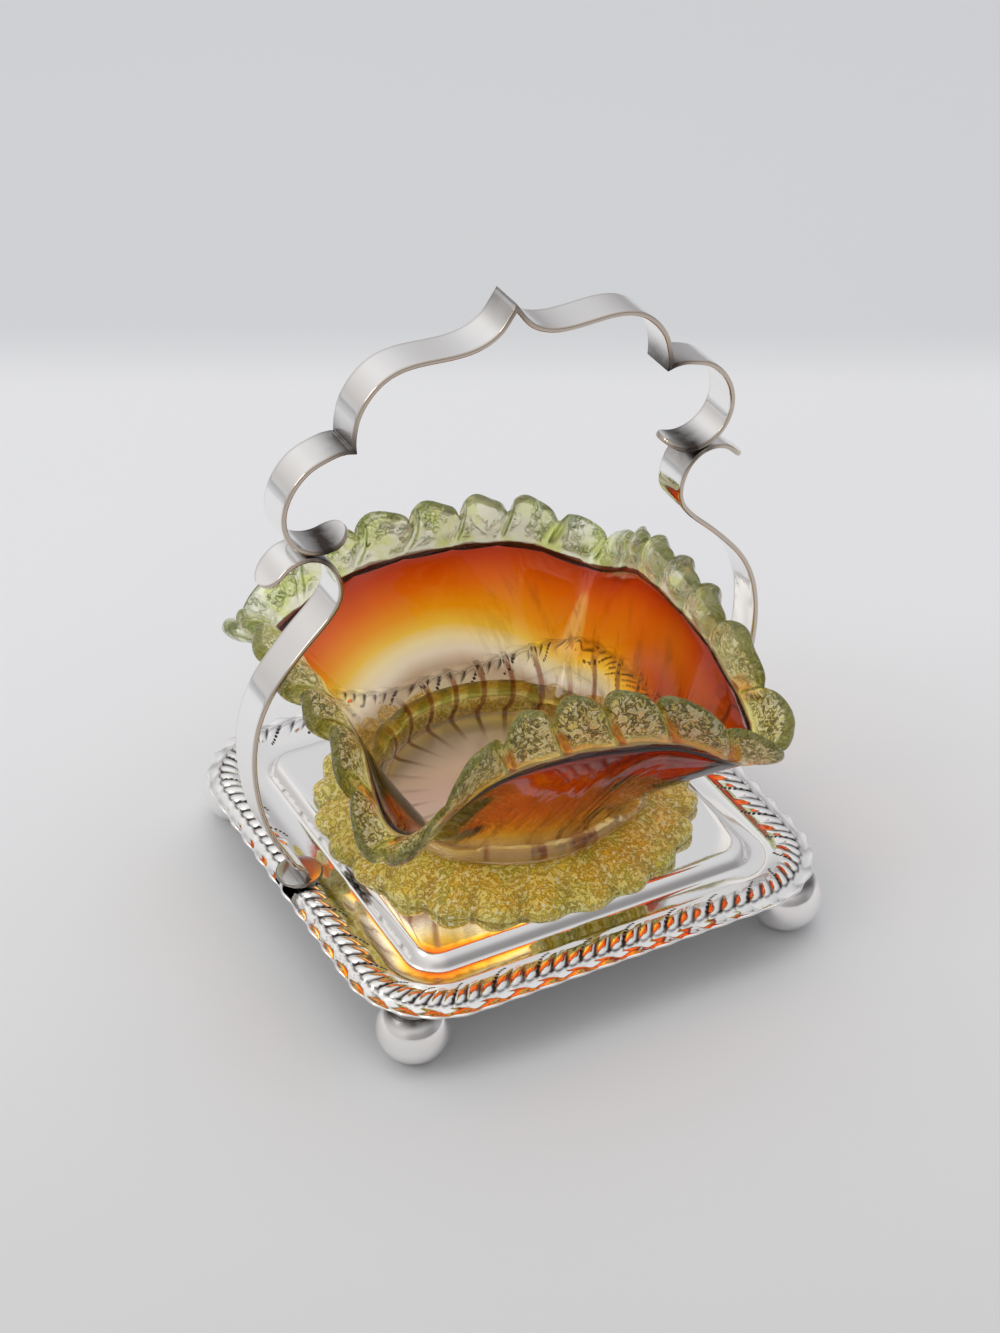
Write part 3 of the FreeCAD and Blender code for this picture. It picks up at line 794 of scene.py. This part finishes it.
def foot_pad(side):
    """Round pad under a leg, with rounded rims, turned about its own axis."""
    top = PAD_BOTTOM + STRIP_THICKNESS
    profile = np.concatenate([
        [(0, PAD_BOTTOM), (PAD_RADIUS - PAD_ROUNDING, PAD_BOTTOM)],
        rounded_edge(PAD_RADIUS, PAD_BOTTOM, top, PAD_ROUNDING, 7),
        [(4.0, top), (2.0, top), (0, top)],
    ])
    rim = np.where(profile[:, 0] > PAD_RADIUS - 0.4, 0.4, 0.0)
    return turned("pad_part", profile, (side * PAD_PLACE, 0), 72, 0.3 + rim, worn=rim)


def joined(first, second):
    """One piece of two meshes."""
    with bpy.context.temp_override(active_object=first, object=first,
                                   selected_objects=[first, second],
                                   selected_editable_objects=[first, second]):
        bpy.ops.object.join()
    return first


# Glass dish

def corner_angle(angle):
    return angle - DISH_TURN - np.pi / 4


def fold(angle, half_degrees):
    """1 on a corner of the rim, falling to 0 on either side as a bell of the angle."""
    off = (corner_angle(angle) + np.pi / 4) % (np.pi / 2) - np.pi / 4
    return np.exp(-(off / np.radians(half_degrees)) ** 2)


def rim(angle):
    """Radius and height of the bowl's rim: a rounded square by cosines, drawn out and down into
    a lip at each corner."""
    turned_by = corner_angle(angle)
    folded = fold(angle, FOLD_DEGREES)
    radius = RIM_RADIUS + CORNER_REACH * np.cos(4 * turned_by)
    radius += FOLD_REACH * folded - RIM_STRETCH * np.cos(2 * turned_by)
    height = PLATEAU + RIM_RISE - CORNER_DROP * np.cos(4 * turned_by) - FOLD_DROP * folded
    return radius, height


def wall_point(angle, rise):
    """Radius and height of the bowl's outer face by the share of the way up: upright for a
    little, then flared by a power that is larger at the corners."""
    power = 0.8 + 0.35 * (1 + np.cos(4 * corner_angle(angle))) / 2
    flare = np.maximum(0, (rise - UPRIGHT_SHARE) / (1 - UPRIGHT_SHARE)) ** power
    radius, height = rim(angle)
    return BASE_RADIUS + (radius - BASE_RADIUS) * flare, WALL_FOOT + (height - WALL_FOOT) * rise


def wall_slope(angle, rise):
    low = wall_point(angle, rise - SLOPE_STEP)
    high = wall_point(angle, rise)
    return unit(high[0] - low[0], high[1] - low[1])


def unit(across, up):
    length = np.hypot(across, up)
    return across / length, up / length


def stand_up(angle, radius, height):
    return np.stack([radius * np.cos(angle), radius * np.sin(angle), height + 0 * radius], -1)


def blown_bowl():
    """Thick base and flared wall in one skin: outer face from the base up, over the rim and down
    the inner face, closed by level discs above and below the base. The inner face has a crease
    pressed under the back corner and slow waves left by the blowing."""
    angle = turns_of(BOWL_POLES)
    rises = np.array(WALL_RISES)[None, :]
    radius, height = wall_point(angle, rises)
    across, up = wall_slope(angle, rises)
    inner_base = BASE_RADIUS - WALL

    def row(first, rest):
        return np.concatenate([np.array(first) + 0 * angle, rest], 1)

    outer_r = row([BASE_RADIUS - BASE_EDGE, BASE_RADIUS, BASE_RADIUS], radius)
    outer_z = row([BASE_BOTTOM, BASE_BOTTOM, WALL_FOOT], height)
    inner_r = row([inner_base - BASE_EDGE, inner_base, inner_base], radius - WALL * up)
    inner_z = row([FLOOR_TOP, FLOOR_TOP, FLOOR_TOP + BASE_EDGE], height + WALL * across)
    poles = stand_up(angle, np.concatenate([outer_r, inner_r[:, ::-1]], 1),
                     np.concatenate([outer_z, inner_z[:, ::-1]], 1))
    up_share = np.concatenate([[0, 0, 0], WALL_RISES, WALL_RISES[::-1], [0, 0, 0]])
    steps = BOWL_MESH_STEPS
    places = np.linspace(0, 1, 120)
    weights = span_weights(len(up_share), places)
    points = smooth_surface(poles, even_weights(BOWL_POLES, steps), weights)
    share = weights @ up_share
    turn = turns_of(steps)
    inner = places[None, :] > 0.52
    off_back = (corner_angle(turn) + np.pi) % (2 * np.pi) - np.pi
    crease = np.exp(-((off_back - 0.05 * (share - 0.6)) / 0.055) ** 2)
    crease = crease * smoothstep(0.42, 0.6, share) * smoothstep(0.97, 0.8, share)
    waves = 0.16 * np.sin(9 * turn + 7 * share) * np.sin(5 * turn - 9 * share)
    waves = waves * smoothstep(0.15, 0.4, share)
    normal = outward(points)
    normal *= -np.sign((normal[:, 30, :2] * points[:, 30, :2]).sum())
    raised = (0.8 * crease + waves) * inner * smoothstep(1.0, 0.93, share)
    points = with_discs(points + normal * raised[..., None], DISC_SHARES)
    share = np.pad(share, 4) + 0 * turn
    side = np.pad((places > 0.5).astype(float), 4, constant_values=(0, 1)) + 0 * turn
    turn_map = np.linspace(0, 1, steps + 1)[:, None] + np.zeros(points.shape[1])
    return piece_from_grid("blown_bowl", points, (True, False), (True, True),
                           {"inner": side}, (turn_map, np.concatenate([share, share[:1]])))


def frill_rise(angle):
    """Rise of the rim's frill over the level: the four sides' shared by the squared cosine, and
    each corner's own close to it."""
    rise = sum(degrees * np.maximum(0, np.cos(angle - DISH_TURN - side * np.pi / 2)) ** 2
               for side, degrees in enumerate(SIDE_RISES))
    corner = np.round(corner_angle(angle) / (np.pi / 2)).astype(int) % 4
    close = fold(angle, FRILL_FAN_DEGREES)
    return np.radians(rise + (np.array(CORNER_RISES)[corner] - rise) * close)


def crimped_frill():
    """Band that carries the wall on past the rim. Its height and thickness swing from
    valley to lobe by powers of a cosine of the way round, it leans back and forth by two sines,
    and each lobe is skewed as it rises. The lobes are lower and fuller where a bell of the angle
    says so, and the finished surface is pinched in along each valley."""
    count = RIM_LOBES * FRILL_POLES_PER_LOBE
    step = np.arange(count)[:, None]
    phase = 2 * np.pi * step / FRILL_POLES_PER_LOBE
    lobe = np.abs(np.cos(phase / 2)) ** 0.42
    even = 2 * np.pi * step / count + FRILL_START
    place = even - FRILL_SPREAD * np.sin(4 * corner_angle(even))
    calm = sum(np.exp(-((corner_angle(place) - np.radians(middle)) / np.radians(38)) ** 2)
               for middle in (-22, 338))
    tall = 9.0 + 2.2 * calm + (7.4 - 4.0 * calm) * lobe
    tall *= 1 - 0.16 * fold(place, 14.0)
    thick, high = np.array(FRILL_SECTION).T[:, None, :]
    angle = place + FRILL_SKEW * high
    radius, height = wall_point(angle, 1)
    across, up = wall_slope(angle, 1)
    radius = radius - up * WALL / 2
    height = height + across * WALL / 2
    rise = frill_rise(angle)
    turned_by = np.clip(high / 0.3, 0, 1)
    across, up = unit(across + (np.cos(rise) - across) * turned_by,
                      up + (np.sin(rise) - up) * turned_by)
    fuller = 1.5 + (1.7 + 0.5 * calm) * lobe * np.clip(high / 0.4, 0, 1)
    sway = 1.7 * (1 - 0.6 * fold(place, 16.0)) * (1 - 0.3 * calm) * high
    out = fuller * thick + sway * (np.sin(phase) + 0.15 * np.sin(2 * phase))
    poles = stand_up(angle, radius + up * out + across * tall * high,
                     height - across * out + up * tall * high)
    steps = RIM_LOBES * 28
    rounds = np.arange(steps) / steps
    ring = even_weights(len(FRILL_SECTION), 44)
    points = smooth_surface(poles, even_weights(count, steps), ring)
    up_frill = np.clip((ring @ high[0]) / 0.99, 0, 1)[None, :] + np.zeros((steps, 1))
    phase = (2 * np.pi * RIM_LOBES * rounds)[:, None]
    crest = np.abs(np.cos(phase / 2 + 0.4 * (up_frill - 0.5)))
    pinch = 1.0 * (1 - smoothstep(0.0, 0.30, crest)) * smoothstep(0.15, 0.4, up_frill)
    normal = outward(points)
    normal *= np.sign((normal[:, 3] * (points[:, 3] - points.mean(1))).sum())
    lobe_map = (RIM_LOBES * np.arange(steps + 1) / steps)[:, None] + np.zeros(45)
    high_map = np.pad(up_frill, ((0, 1), (0, 1)), mode="wrap")
    return piece_from_grid("crimped_frill", points - normal * pinch[..., None], (True, True),
                           uv=(lobe_map, high_map))


def waist_cord():
    """Oval cord laid round the wall: an ellipse in the wall's own directions, carried round."""
    angle = turns_of(BOWL_POLES)
    rise = (WAIST_HEIGHT - WALL_FOOT) / (rim(angle)[1] - WALL_FOOT)
    radius, height = wall_point(angle, rise)
    across, up = wall_slope(angle, rise)
    turn = turns_of(CORD_POLES).T
    out = CORD_STAND_OFF + CORD_HALF_WIDTH * (1 + np.cos(turn))
    along = CORD_HALF_HEIGHT * np.sin(turn)
    poles = stand_up(angle, radius + up * out + across * along, height - across * out + up * along)
    steps = BOWL_MESH_STEPS
    points = smooth_surface(poles, even_weights(BOWL_POLES, steps), even_weights(CORD_POLES, 24))
    turn_map = np.linspace(0, 27, steps + 1)[:, None] + np.zeros(25)
    ring_map = np.zeros((steps + 1, 1)) + np.linspace(0, 1, 25)
    return piece_from_grid("waist_cord", points, (True, True), uv=(turn_map, ring_map))


def standing_frill():
    """Lobed skirt that the bowl stands in: a section with a ledge and a sloping top, its outer
    radius and thickness swinging by a power of a cosine, and flat where it stands."""
    count = FOOT_LOBES * 8
    angle = turns_of(count)
    lobe = (0.5 + 0.5 * np.cos(FOOT_LOBES * angle)) ** 0.7
    edge = FOOT_RADIUS - FOOT_NOTCH * (1 - lobe)
    rise = 2.6 + 2.0 * lobe
    ledge = BASE_BOTTOM - FOOT_GAP
    collar = BASE_RADIUS + FOOT_GAP
    shoulder = collar + FOOT_LEDGE_WIDTH
    top = PLATEAU + FOOT_TOP_RISE
    under = PLATEAU - FOOT_UNDERCUT
    section = [
        (FOOT_INNER_RADIUS, under), (FOOT_INNER_RADIUS, ledge), (collar, ledge), (collar, ledge),
        (collar, top), (shoulder, top), ((shoulder + edge) / 2, (top + PLATEAU + rise) / 2),
        (edge - rise / 3, PLATEAU + rise), (edge, PLATEAU + rise / 2), (edge - rise / 3, under),
    ]
    radii, heights = (np.concatenate([values + 0 * angle for values in row], 1)
                      for row in zip(*section))
    steps = FOOT_LOBES * 24
    rounds = np.arange(steps) / steps
    points = smooth_surface(stand_up(angle, radii, heights), even_weights(count, steps),
                            even_weights(len(section), 64))
    radius = np.hypot(points[..., 0], points[..., 1])
    out = (radius - 42) / 16
    crease = np.abs(np.cos(np.pi * FOOT_LOBES * rounds))[:, None]
    dent = 0.7 * (1 - smoothstep(0.0, 0.45, crease)) * smoothstep(0.2, 0.7, out)
    points[..., 2] -= dent * (points[..., 2] > PLATEAU + 1.5)
    points[..., 2] = np.maximum(points[..., 2], PLATEAU)
    return piece_from_grid("standing_frill", points, (True, True), maps={
        "crest": crease + 0 * radius, "out_share": np.clip(out, 0, 1)})


# Glass

def glass(tree, colour, roughness, normal, shadow, through=1.0, gloss=0.5):
    """Clear coloured glass. Rays towards a lamp pass it straight with a tint of its own, so that
    it throws a coloured shadow; the tint is about half of the glass's, as light bent through the
    glass is added to it."""
    shader = put(tree, "ShaderNodeBsdfPrincipled", Base_Color=colour, Roughness=roughness,
                 Metallic=0.0, IOR=1.5, Normal=normal)
    shader.inputs["Transmission Weight"].default_value = through
    shader.inputs["Specular IOR Level"].default_value = gloss
    clear = put(tree, "ShaderNodeBsdfTransparent", Color=(*shadow, 1))
    path = tree.nodes.new("ShaderNodeLightPath")
    both = tree.nodes.new("ShaderNodeMixShader")
    tree.links.new(path.outputs["Is Shadow Ray"], both.inputs[0])
    tree.links.new(shader.outputs[0], both.inputs[1])
    tree.links.new(clear.outputs[0], both.inputs[2])
    show(tree, both)


def bowl_glass():
    """Amber glass, struck red towards the rim and clear towards the base, with thin brown ribs
    left by the mould low in the wall, a painted highlight down the crease under the back corner,
    painted shade darkening the front outer wall towards the rim, drawn-out waves on its outer
    face and a ground underside."""
    material, tree = new_material("struck_amber_glass")
    place = object_place(tree)
    x, y, _ = parts_of(place)
    turn, up = laid_out(tree)
    inner = attribute(tree, "inner")
    outer = 1.0 - inner
    front = falling(x * -0.25 + y, -0.036, 0.008)
    right = rising(x, 0.000, 0.045)
    left = falling(x, -0.036, -0.010)
    low_down = falling(up, 0.50, 0.85)
    share = up + noise(place, 38.0, 2.0) * 0.08 - 0.04
    share = share + front * low_down * 0.27 + right * low_down * 0.15
    colour = colour_run(share, [
        (0.0, (0.91, 0.84, 0.82)), (0.08, (0.88, 0.81, 0.54)), (0.18, (0.70, 0.56, 0.33)),
        (0.34, (0.58, 0.41, 0.25)), (0.42, (0.92, 0.76, 0.54)), (0.49, (0.98, 0.78, 0.38)),
        (0.57, (0.96, 0.56, 0.05)), (0.67, (0.92, 0.31, 0.003)), (0.80, (0.80, 0.13, 0.001)),
        (0.91, (0.58, 0.05, 0.001)), (1.0, (0.36, 0.02, 0.001))])
    ribs = reckon("FRACT", turn * 26.0 + reckon("SINE", up * 9.0) * 0.30)
    line = (falling(abs(ribs - 0.5), 0.05, 0.15)
            * rising(reckon("SQRT", x * x + y * y), 0.020, 0.034)
            * falling((left + right) * -0.22 + up, 0.22, 0.34)
            * rising(noise(place, 22.0, 1.0), 0.32, 0.42) * inner)
    colour = mix(line * 0.95, colour, (0.15, 0.025, 0.004))
    # Painted highlight: a pale streak down the crease under the back corner, for the light caught
    # in the fold
    from_crease = abs(turn - (up * 0.01 + 0.1013)) / (up * -0.03 + 0.0288)
    crease = falling(from_crease, 0.5, 1.0) * rising(up, 0.42, 0.52) * falling(up, 0.80, 0.87)
    colour = mix(crease * inner * 0.75, colour, (1.0, 0.80, 0.55))
    streak = place_at(up * -5.0 + turn * 64.0, up * 3.0)
    streaks = (rising(noise(streak, 1.0, 3.0, 0.6), 0.50, 0.66)
               * reckon("MAXIMUM", front * outer, right * inner)
               * rising(up, 0.08, 0.25) * falling(up, 0.70, 0.92))
    colour = mix(streaks * 0.75, colour, (0.30, 0.05, 0.003))
    # Painted shade: the front outer wall, away from the lamps, is darkened to a dull burgundy
    # towards the rim
    colour = mix(front * outer * rising(up, 0.35, 0.80) * 0.55, colour, (0.27, 0.035, 0.012))
    colour = mix(rising(up, 0.982, 0.996), colour, (0.07, 0.006, 0.002))
    waves = (noise(streak, 0.8, 2.0, 0.5) * outer * front * rising(up, 0.12, 0.30)
             * falling(up, 0.60, 0.95))
    dulled = front * outer * rising(up, 0.45, 0.80) * 0.06
    ground = outer * falling(up, 0.005, 0.02) * 0.6
    glass(tree, colour, dulled + ground, bump(line * 0.2 + waves, 0.0016, 0.35),
          (0.65, 0.46, 0.25), gloss=0.15)
    return material


def frill_glass():
    """Pale green glass, crackled on the lobes and smooth in the valleys, where an olive stroke of
    painted shade follows the fold. The crackle is close at the front and loose at the back, with
    painted highlights beside its lines. The front lobes are painted warm for the amber bowl seen
    through them, a painted amber reflection lies at the foot of the front lobes, and a dark line
    runs along the root."""
    material, tree = new_material("crackled_green_glass")
    place = object_place(tree)
    x, y, _ = parts_of(place)
    lobes, high = laid_out(tree)
    crackle = use_group(tree, CRACKLE, Place=place, Grains=560.0)
    wander = noise(place, 120.0, 2.0) * 0.16 - 0.08
    across = reckon("FRACT", high * 0.10 + lobes + wander) - 0.5
    front = falling(x * 0.45 + y, -0.035, 0.02)
    loose = rising(noise(place, 170.0, 1.0), 0.46, 0.58) * 0.9
    close = (rising(abs(across), 0.07, 0.16) * rising(high, 0.14, 0.32)
             * reckon("MAXIMUM", front, loose))
    # Painted see-through colour: the front lobes and their patches are tinted warm amber for the
    # amber bowl seen through them
    colour = mix(front, (1.0, 1.0, 0.82), (1.0, 0.90, 0.30))
    patch = rising(noise(place, 110.0, 2.0), 0.48, 0.64) * 0.7
    colour = mix(patch, colour, mix(front, (0.76, 0.86, 0.14), (0.86, 0.60, 0.08)))
    # Painted highlights beside the crackle's grooves, cream at the front and near white at the back
    pale = mix(front, (1.0, 1.0, 0.90), (1.0, 0.98, 0.76))
    colour = mix(crackle["Flecks"] * close * 0.95, colour, pale)
    dark = mix(front, (0.10, 0.16, 0.01), (0.05, 0.045, 0.004))
    colour = mix(crackle["Grooves"] * close * 0.93, colour, dark)
    # Painted shade: a dark olive stroke along each valley's fold, where the folded glass bends the
    # light; a dark line also runs along the crest
    stroke = falling(abs(across + 0.045), 0.012, 0.055) * rising(high, 0.10, 0.3) * 0.9
    crest_line = rising(high, 0.95, 0.98) * 0.75
    colour = mix(reckon("MAXIMUM", stroke, crest_line), colour, (0.20, 0.24, 0.01))
    # Painted reflection: amber of the bowl in the hook of each front valley, low on the lobes
    amber_reflection_hook = (front * falling(abs(across - 0.065), 0.045, 0.10) * rising(high, 0.06, 0.14)
            * falling(high, 0.60, 0.85))
    colour = mix(amber_reflection_hook * 0.9, colour, (0.86, 0.28, 0.012))
    root = falling(noise(place, 260.0, 1.0) * -0.08 + high, 0.0, 0.035)
    colour = mix(root, colour, (0.07, 0.008, 0.003))
    height = crackle["Height"] * close * 1.4 + noise(place, 130.0, 2.0) * 0.5
    glass(tree, colour, 0.0, bump(height, 0.0009), (0.62, 0.65, 0.43), through=0.72)
    return material


def foot_glass():
    """Golden olive glass, crackled all over, with painted highlights and glints, painted shade in
    the valleys between the lobes, and greener clouds.
    """
    material, tree = new_material("golden_crackled_glass")
    place = object_place(tree)
    crackle = use_group(tree, CRACKLE, Place=place, Grains=700.0)
    tone = mix(rising(noise(place, 55.0, 3.0), 0.35, 0.65), (0.95, 0.80, 0.08), (0.92, 0.62, 0.035))
    tone = mix(rising(noise(place, 120.0, 2.0), 0.50, 0.66) * 0.55, tone, (0.52, 0.66, 0.05))
    # Painted shade: the valleys between the lobes are darkened towards the outer edge
    valley = falling(attribute(tree, "crest"), 0.05, 0.5) * attribute(tree, "out_share") * 0.7
    tone = mix(valley, tone, (0.38, 0.28, 0.03))
    # Painted highlights beside the crackle lines
    tone = mix(crackle["Flecks"] * 0.85, tone, (1.0, 0.98, 0.34))
    tone = mix(crackle["Grooves"] * 0.62, tone, (0.25, 0.18, 0.008))
    # Painted glints: small bright sparkles scattered over the glass
    tone = mix(rising(noise(place, 620.0, 1.0), 0.63, 0.69), tone, (1.0, 0.98, 0.55))
    height = noise(place, 160.0, 2.0) * 0.8 + crackle["Height"] * 1.2
    glass(tree, tone, 0.05, bump(height, 0.0009), (0.56, 0.46, 0.16), through=0.20, gloss=0.9)
    return material


def cord_glass():
    """Green glass cord: small even olive blocks at the back, and at the front a few longer brown
    ones of uneven length on a warmer tone, painted for the amber wall seen through the cord."""
    material, tree = new_material("green_cord_glass")
    place = object_place(tree)
    length = laid_out(tree)[0]
    turns = reckon("FRACT", length + noise(place, 70.0, 2.0) * 0.4 - 0.2)
    even = rising(turns, 0.42, 0.50) * falling(turns, 0.88, 0.96)
    uneven = (rising(noise(place_at(length * 0.9), 1.0, 1.0), 0.51, 0.54)
              * rising(noise(place, 300.0, 1.0), 0.34, 0.44))
    # Painted see-through colour: at the front the brown blocks and warmer pale tone stand for the
    # amber wall behind the cord
    front = falling(parts_of(place)[1], -0.02, 0.01)
    block = front * uneven * 0.85 + (1.0 - front) * even * 0.75
    dark = mix(front, (0.42, 0.50, 0.07), (0.33, 0.10, 0.02))
    pale = mix(front, (0.96, 0.97, 0.46), (0.88, 0.74, 0.38))
    glass(tree, mix(block, pale, dark), 0.0, bump(noise(place, 260.0, 2.0), 0.0006, 0.8),
          (0.56, 0.58, 0.30), through=0.85)
    return material


# Stage

def pale_floor():
    """Wide level floor, drawn as rings so that its tone can fade outwards: painted light and shade,
    lighter round the dish and darker towards the front and far off.
    """
    ring = np.array([0, 0.15, 0.3, 0.5, 0.8, 1.3, 2.2, 4.0, 7.0, 12.0]) / MM
    angle = turns_of(96)
    floor = piece_from_grid("pale_floor", stand_up(angle, ring + 0 * angle, 0.0), (True, False),
                            (True, False))
    material, tree = new_material("seamless_paper")
    place = object_place(tree)
    x, y, _ = parts_of(place)
    # Painted light and shade: a lighter band round the dish, darker towards the camera and beyond,
    # as light falls on a paper sweep
    away = x * 0.468 + y * 0.884
    near = mix(rising(away, -0.40, 0.16), (0.55, 0.548, 0.545), (0.70, 0.705, 0.72))
    colour = mix(rising(away, 0.285, 0.345), near, (0.585, 0.595, 0.61))
    colour = mix(noise(place, 9.0, 2.0) * 0.05, colour, (0.5, 0.5, 0.5))
    shader = put(tree, "ShaderNodeBsdfPrincipled", Base_Color=colour, Roughness=0.8)
    shader.inputs["Specular IOR Level"].default_value = 0.0
    show(tree, shader)
    floor.data.materials.append(material)


def facing_matrix(back, place, roll=0.0):
    """Placement of a lamp or camera that looks against the unit direction back."""
    right = np.cross((0, 0, 1), back)
    right /= np.linalg.norm(right)
    up = np.cross(back, right)
    matrix = np.eye(4)
    matrix[:3, 0] = np.cos(roll) * right + np.sin(roll) * up
    matrix[:3, 1] = -np.sin(roll) * right + np.cos(roll) * up
    matrix[:3, 2] = back
    matrix[:3, 3] = place
    return Matrix(matrix.tolist())


def studio_light():
    """Soft light from a wide lamp above and behind and a small one on the left, and a pale room
    round it that is darker low down, towards the front and to the right, so that the metal has
    something to show. The wide lamp isn't mirrored in the metal, which shows the room in its
    place."""
    world = bpy.data.worlds.new("pale_room")
    bpy.context.scene.world = world
    world.use_nodes = True
    tree = world.node_tree
    tree.nodes.clear()
    x, y, z = parts_of(Value(tree.nodes.new("ShaderNodeTexCoord").outputs["Generated"]))
    room = colour_run(z * 0.5 + 0.5, [
        (0.0, (0.60, 0.60, 0.61)), (0.47, (0.60, 0.60, 0.61)), (0.56, (0.55, 0.54, 0.55)),
        (0.68, (0.70, 0.69, 0.70)), (0.80, (0.88, 0.88, 0.90)), (1.0, (0.95, 0.95, 0.96))])
    facing = rising(y * -1.0, 0.5, 0.9) * falling(z, 0.25, 0.5)
    room = mix(facing * 0.55, room, (0.16, 0.15, 0.15))
    across = mix(rising(x, -0.7, 0.7), (1.22, 1.21, 1.18), (0.84, 0.84, 0.85))
    room = mix(1.0, room, across, "MULTIPLY")
    show(tree, put(tree, "ShaderNodeBackground", Color=room, Strength=0.835),
         "ShaderNodeOutputWorld")
    for name, place, aim, size, power in (
            ("wide_lamp", (0.25, 0.38, 1.6), (0, 0, 0.05), 1.9, 11.0),
            ("side_lamp", (-1.2, 0.1, 1.1), (0, 0, 0.08), 0.6, 3.2)):
        lamp = bpy.data.lights.new(name, "AREA")
        lamp.shape = "SQUARE"
        lamp.size = size
        lamp.energy = power
        back = np.array(place) - np.array(aim)
        holder = bpy.data.objects.new(name, lamp)
        holder.matrix_world = facing_matrix(back / np.linalg.norm(back), place)
        holder.visible_glossy = name != "wide_lamp"
        bpy.context.scene.collection.objects.link(holder)


def photograph_camera():
    """Camera at the photograph's place: its directions come from the turn about the upright, the
    height of the view and the small roll, and its focal length from the picture's height."""
    turn, rise, roll = np.radians([-27.898, 35.442, 0.138])
    back = np.array([np.sin(turn) * np.cos(rise), -np.cos(turn) * np.cos(rise), np.sin(rise)])
    lens = bpy.data.cameras.new("photograph_camera")
    lens.sensor_width = 36.0
    lens.lens = 36.0 * 2869.96 / 1333
    camera = bpy.data.objects.new("photograph_camera", lens)
    camera.matrix_world = facing_matrix(back, (-0.317647, -0.596611, 0.55567), roll)
    bpy.context.scene.collection.objects.link(camera)
    bpy.context.scene.camera = camera


def build():
    sheet = silver("pressed_silver_sheet", 0.22, dots=True)
    plated = silver("polished_silver", 0.10)
    bent = silver("bent_silver_strip", 0.30, worn=True)

    def on_stand(piece, node, material):
        finish_piece(piece, "stand", node, material)

    on_stand(pressed_tray(), "tray_sheet", sheet)
    for end, y_side in (("front", -1), ("back", 1)):
        for side_name, x_side in (("left", -1), ("right", 1)):
            corner = end + "_" + side_name
            place = (x_side * BALL_PLACE, y_side * BALL_PLACE)
            on_stand(foot_ball("ball_" + corner, *place), "foot_ball_" + corner, plated)
            on_stand(foot_cap("cap_" + corner, *place), "foot_cap_" + corner, plated)
    mitre = cusp_normal()
    for side_name, side in (("right", 1), ("left", -1)):
        leg = bent_strip("leg_" + side_name, LEG, side, round_start=True, foot=True)
        on_stand(joined(leg, foot_pad(side)), "handle_leg_" + side_name, bent)
        lobe = bent_strip("lobe_" + side_name, LOBE, side, round_end=True, start_cut=mitre)
        on_stand(lobe, "handle_lobe_" + side_name, bent)
        ogee = bent_strip("ogee_" + side_name, OGEE, side, start_cut=(1.0, 0.0), end_cut=mitre)
        on_stand(ogee, "handle_ogee_" + side_name, bent)
    finish_piece(blown_bowl(), "dish", "glass_bowl", bowl_glass())
    finish_piece(crimped_frill(), "dish", "glass_rim_frill", frill_glass())
    finish_piece(waist_cord(), "dish", "glass_waist_ring", cord_glass())
    finish_piece(standing_frill(), "dish", "glass_foot_frill", foot_glass())


pale_floor()
studio_light()
photograph_camera()
bpy.context.scene.view_settings.view_transform = "Standard"
build()
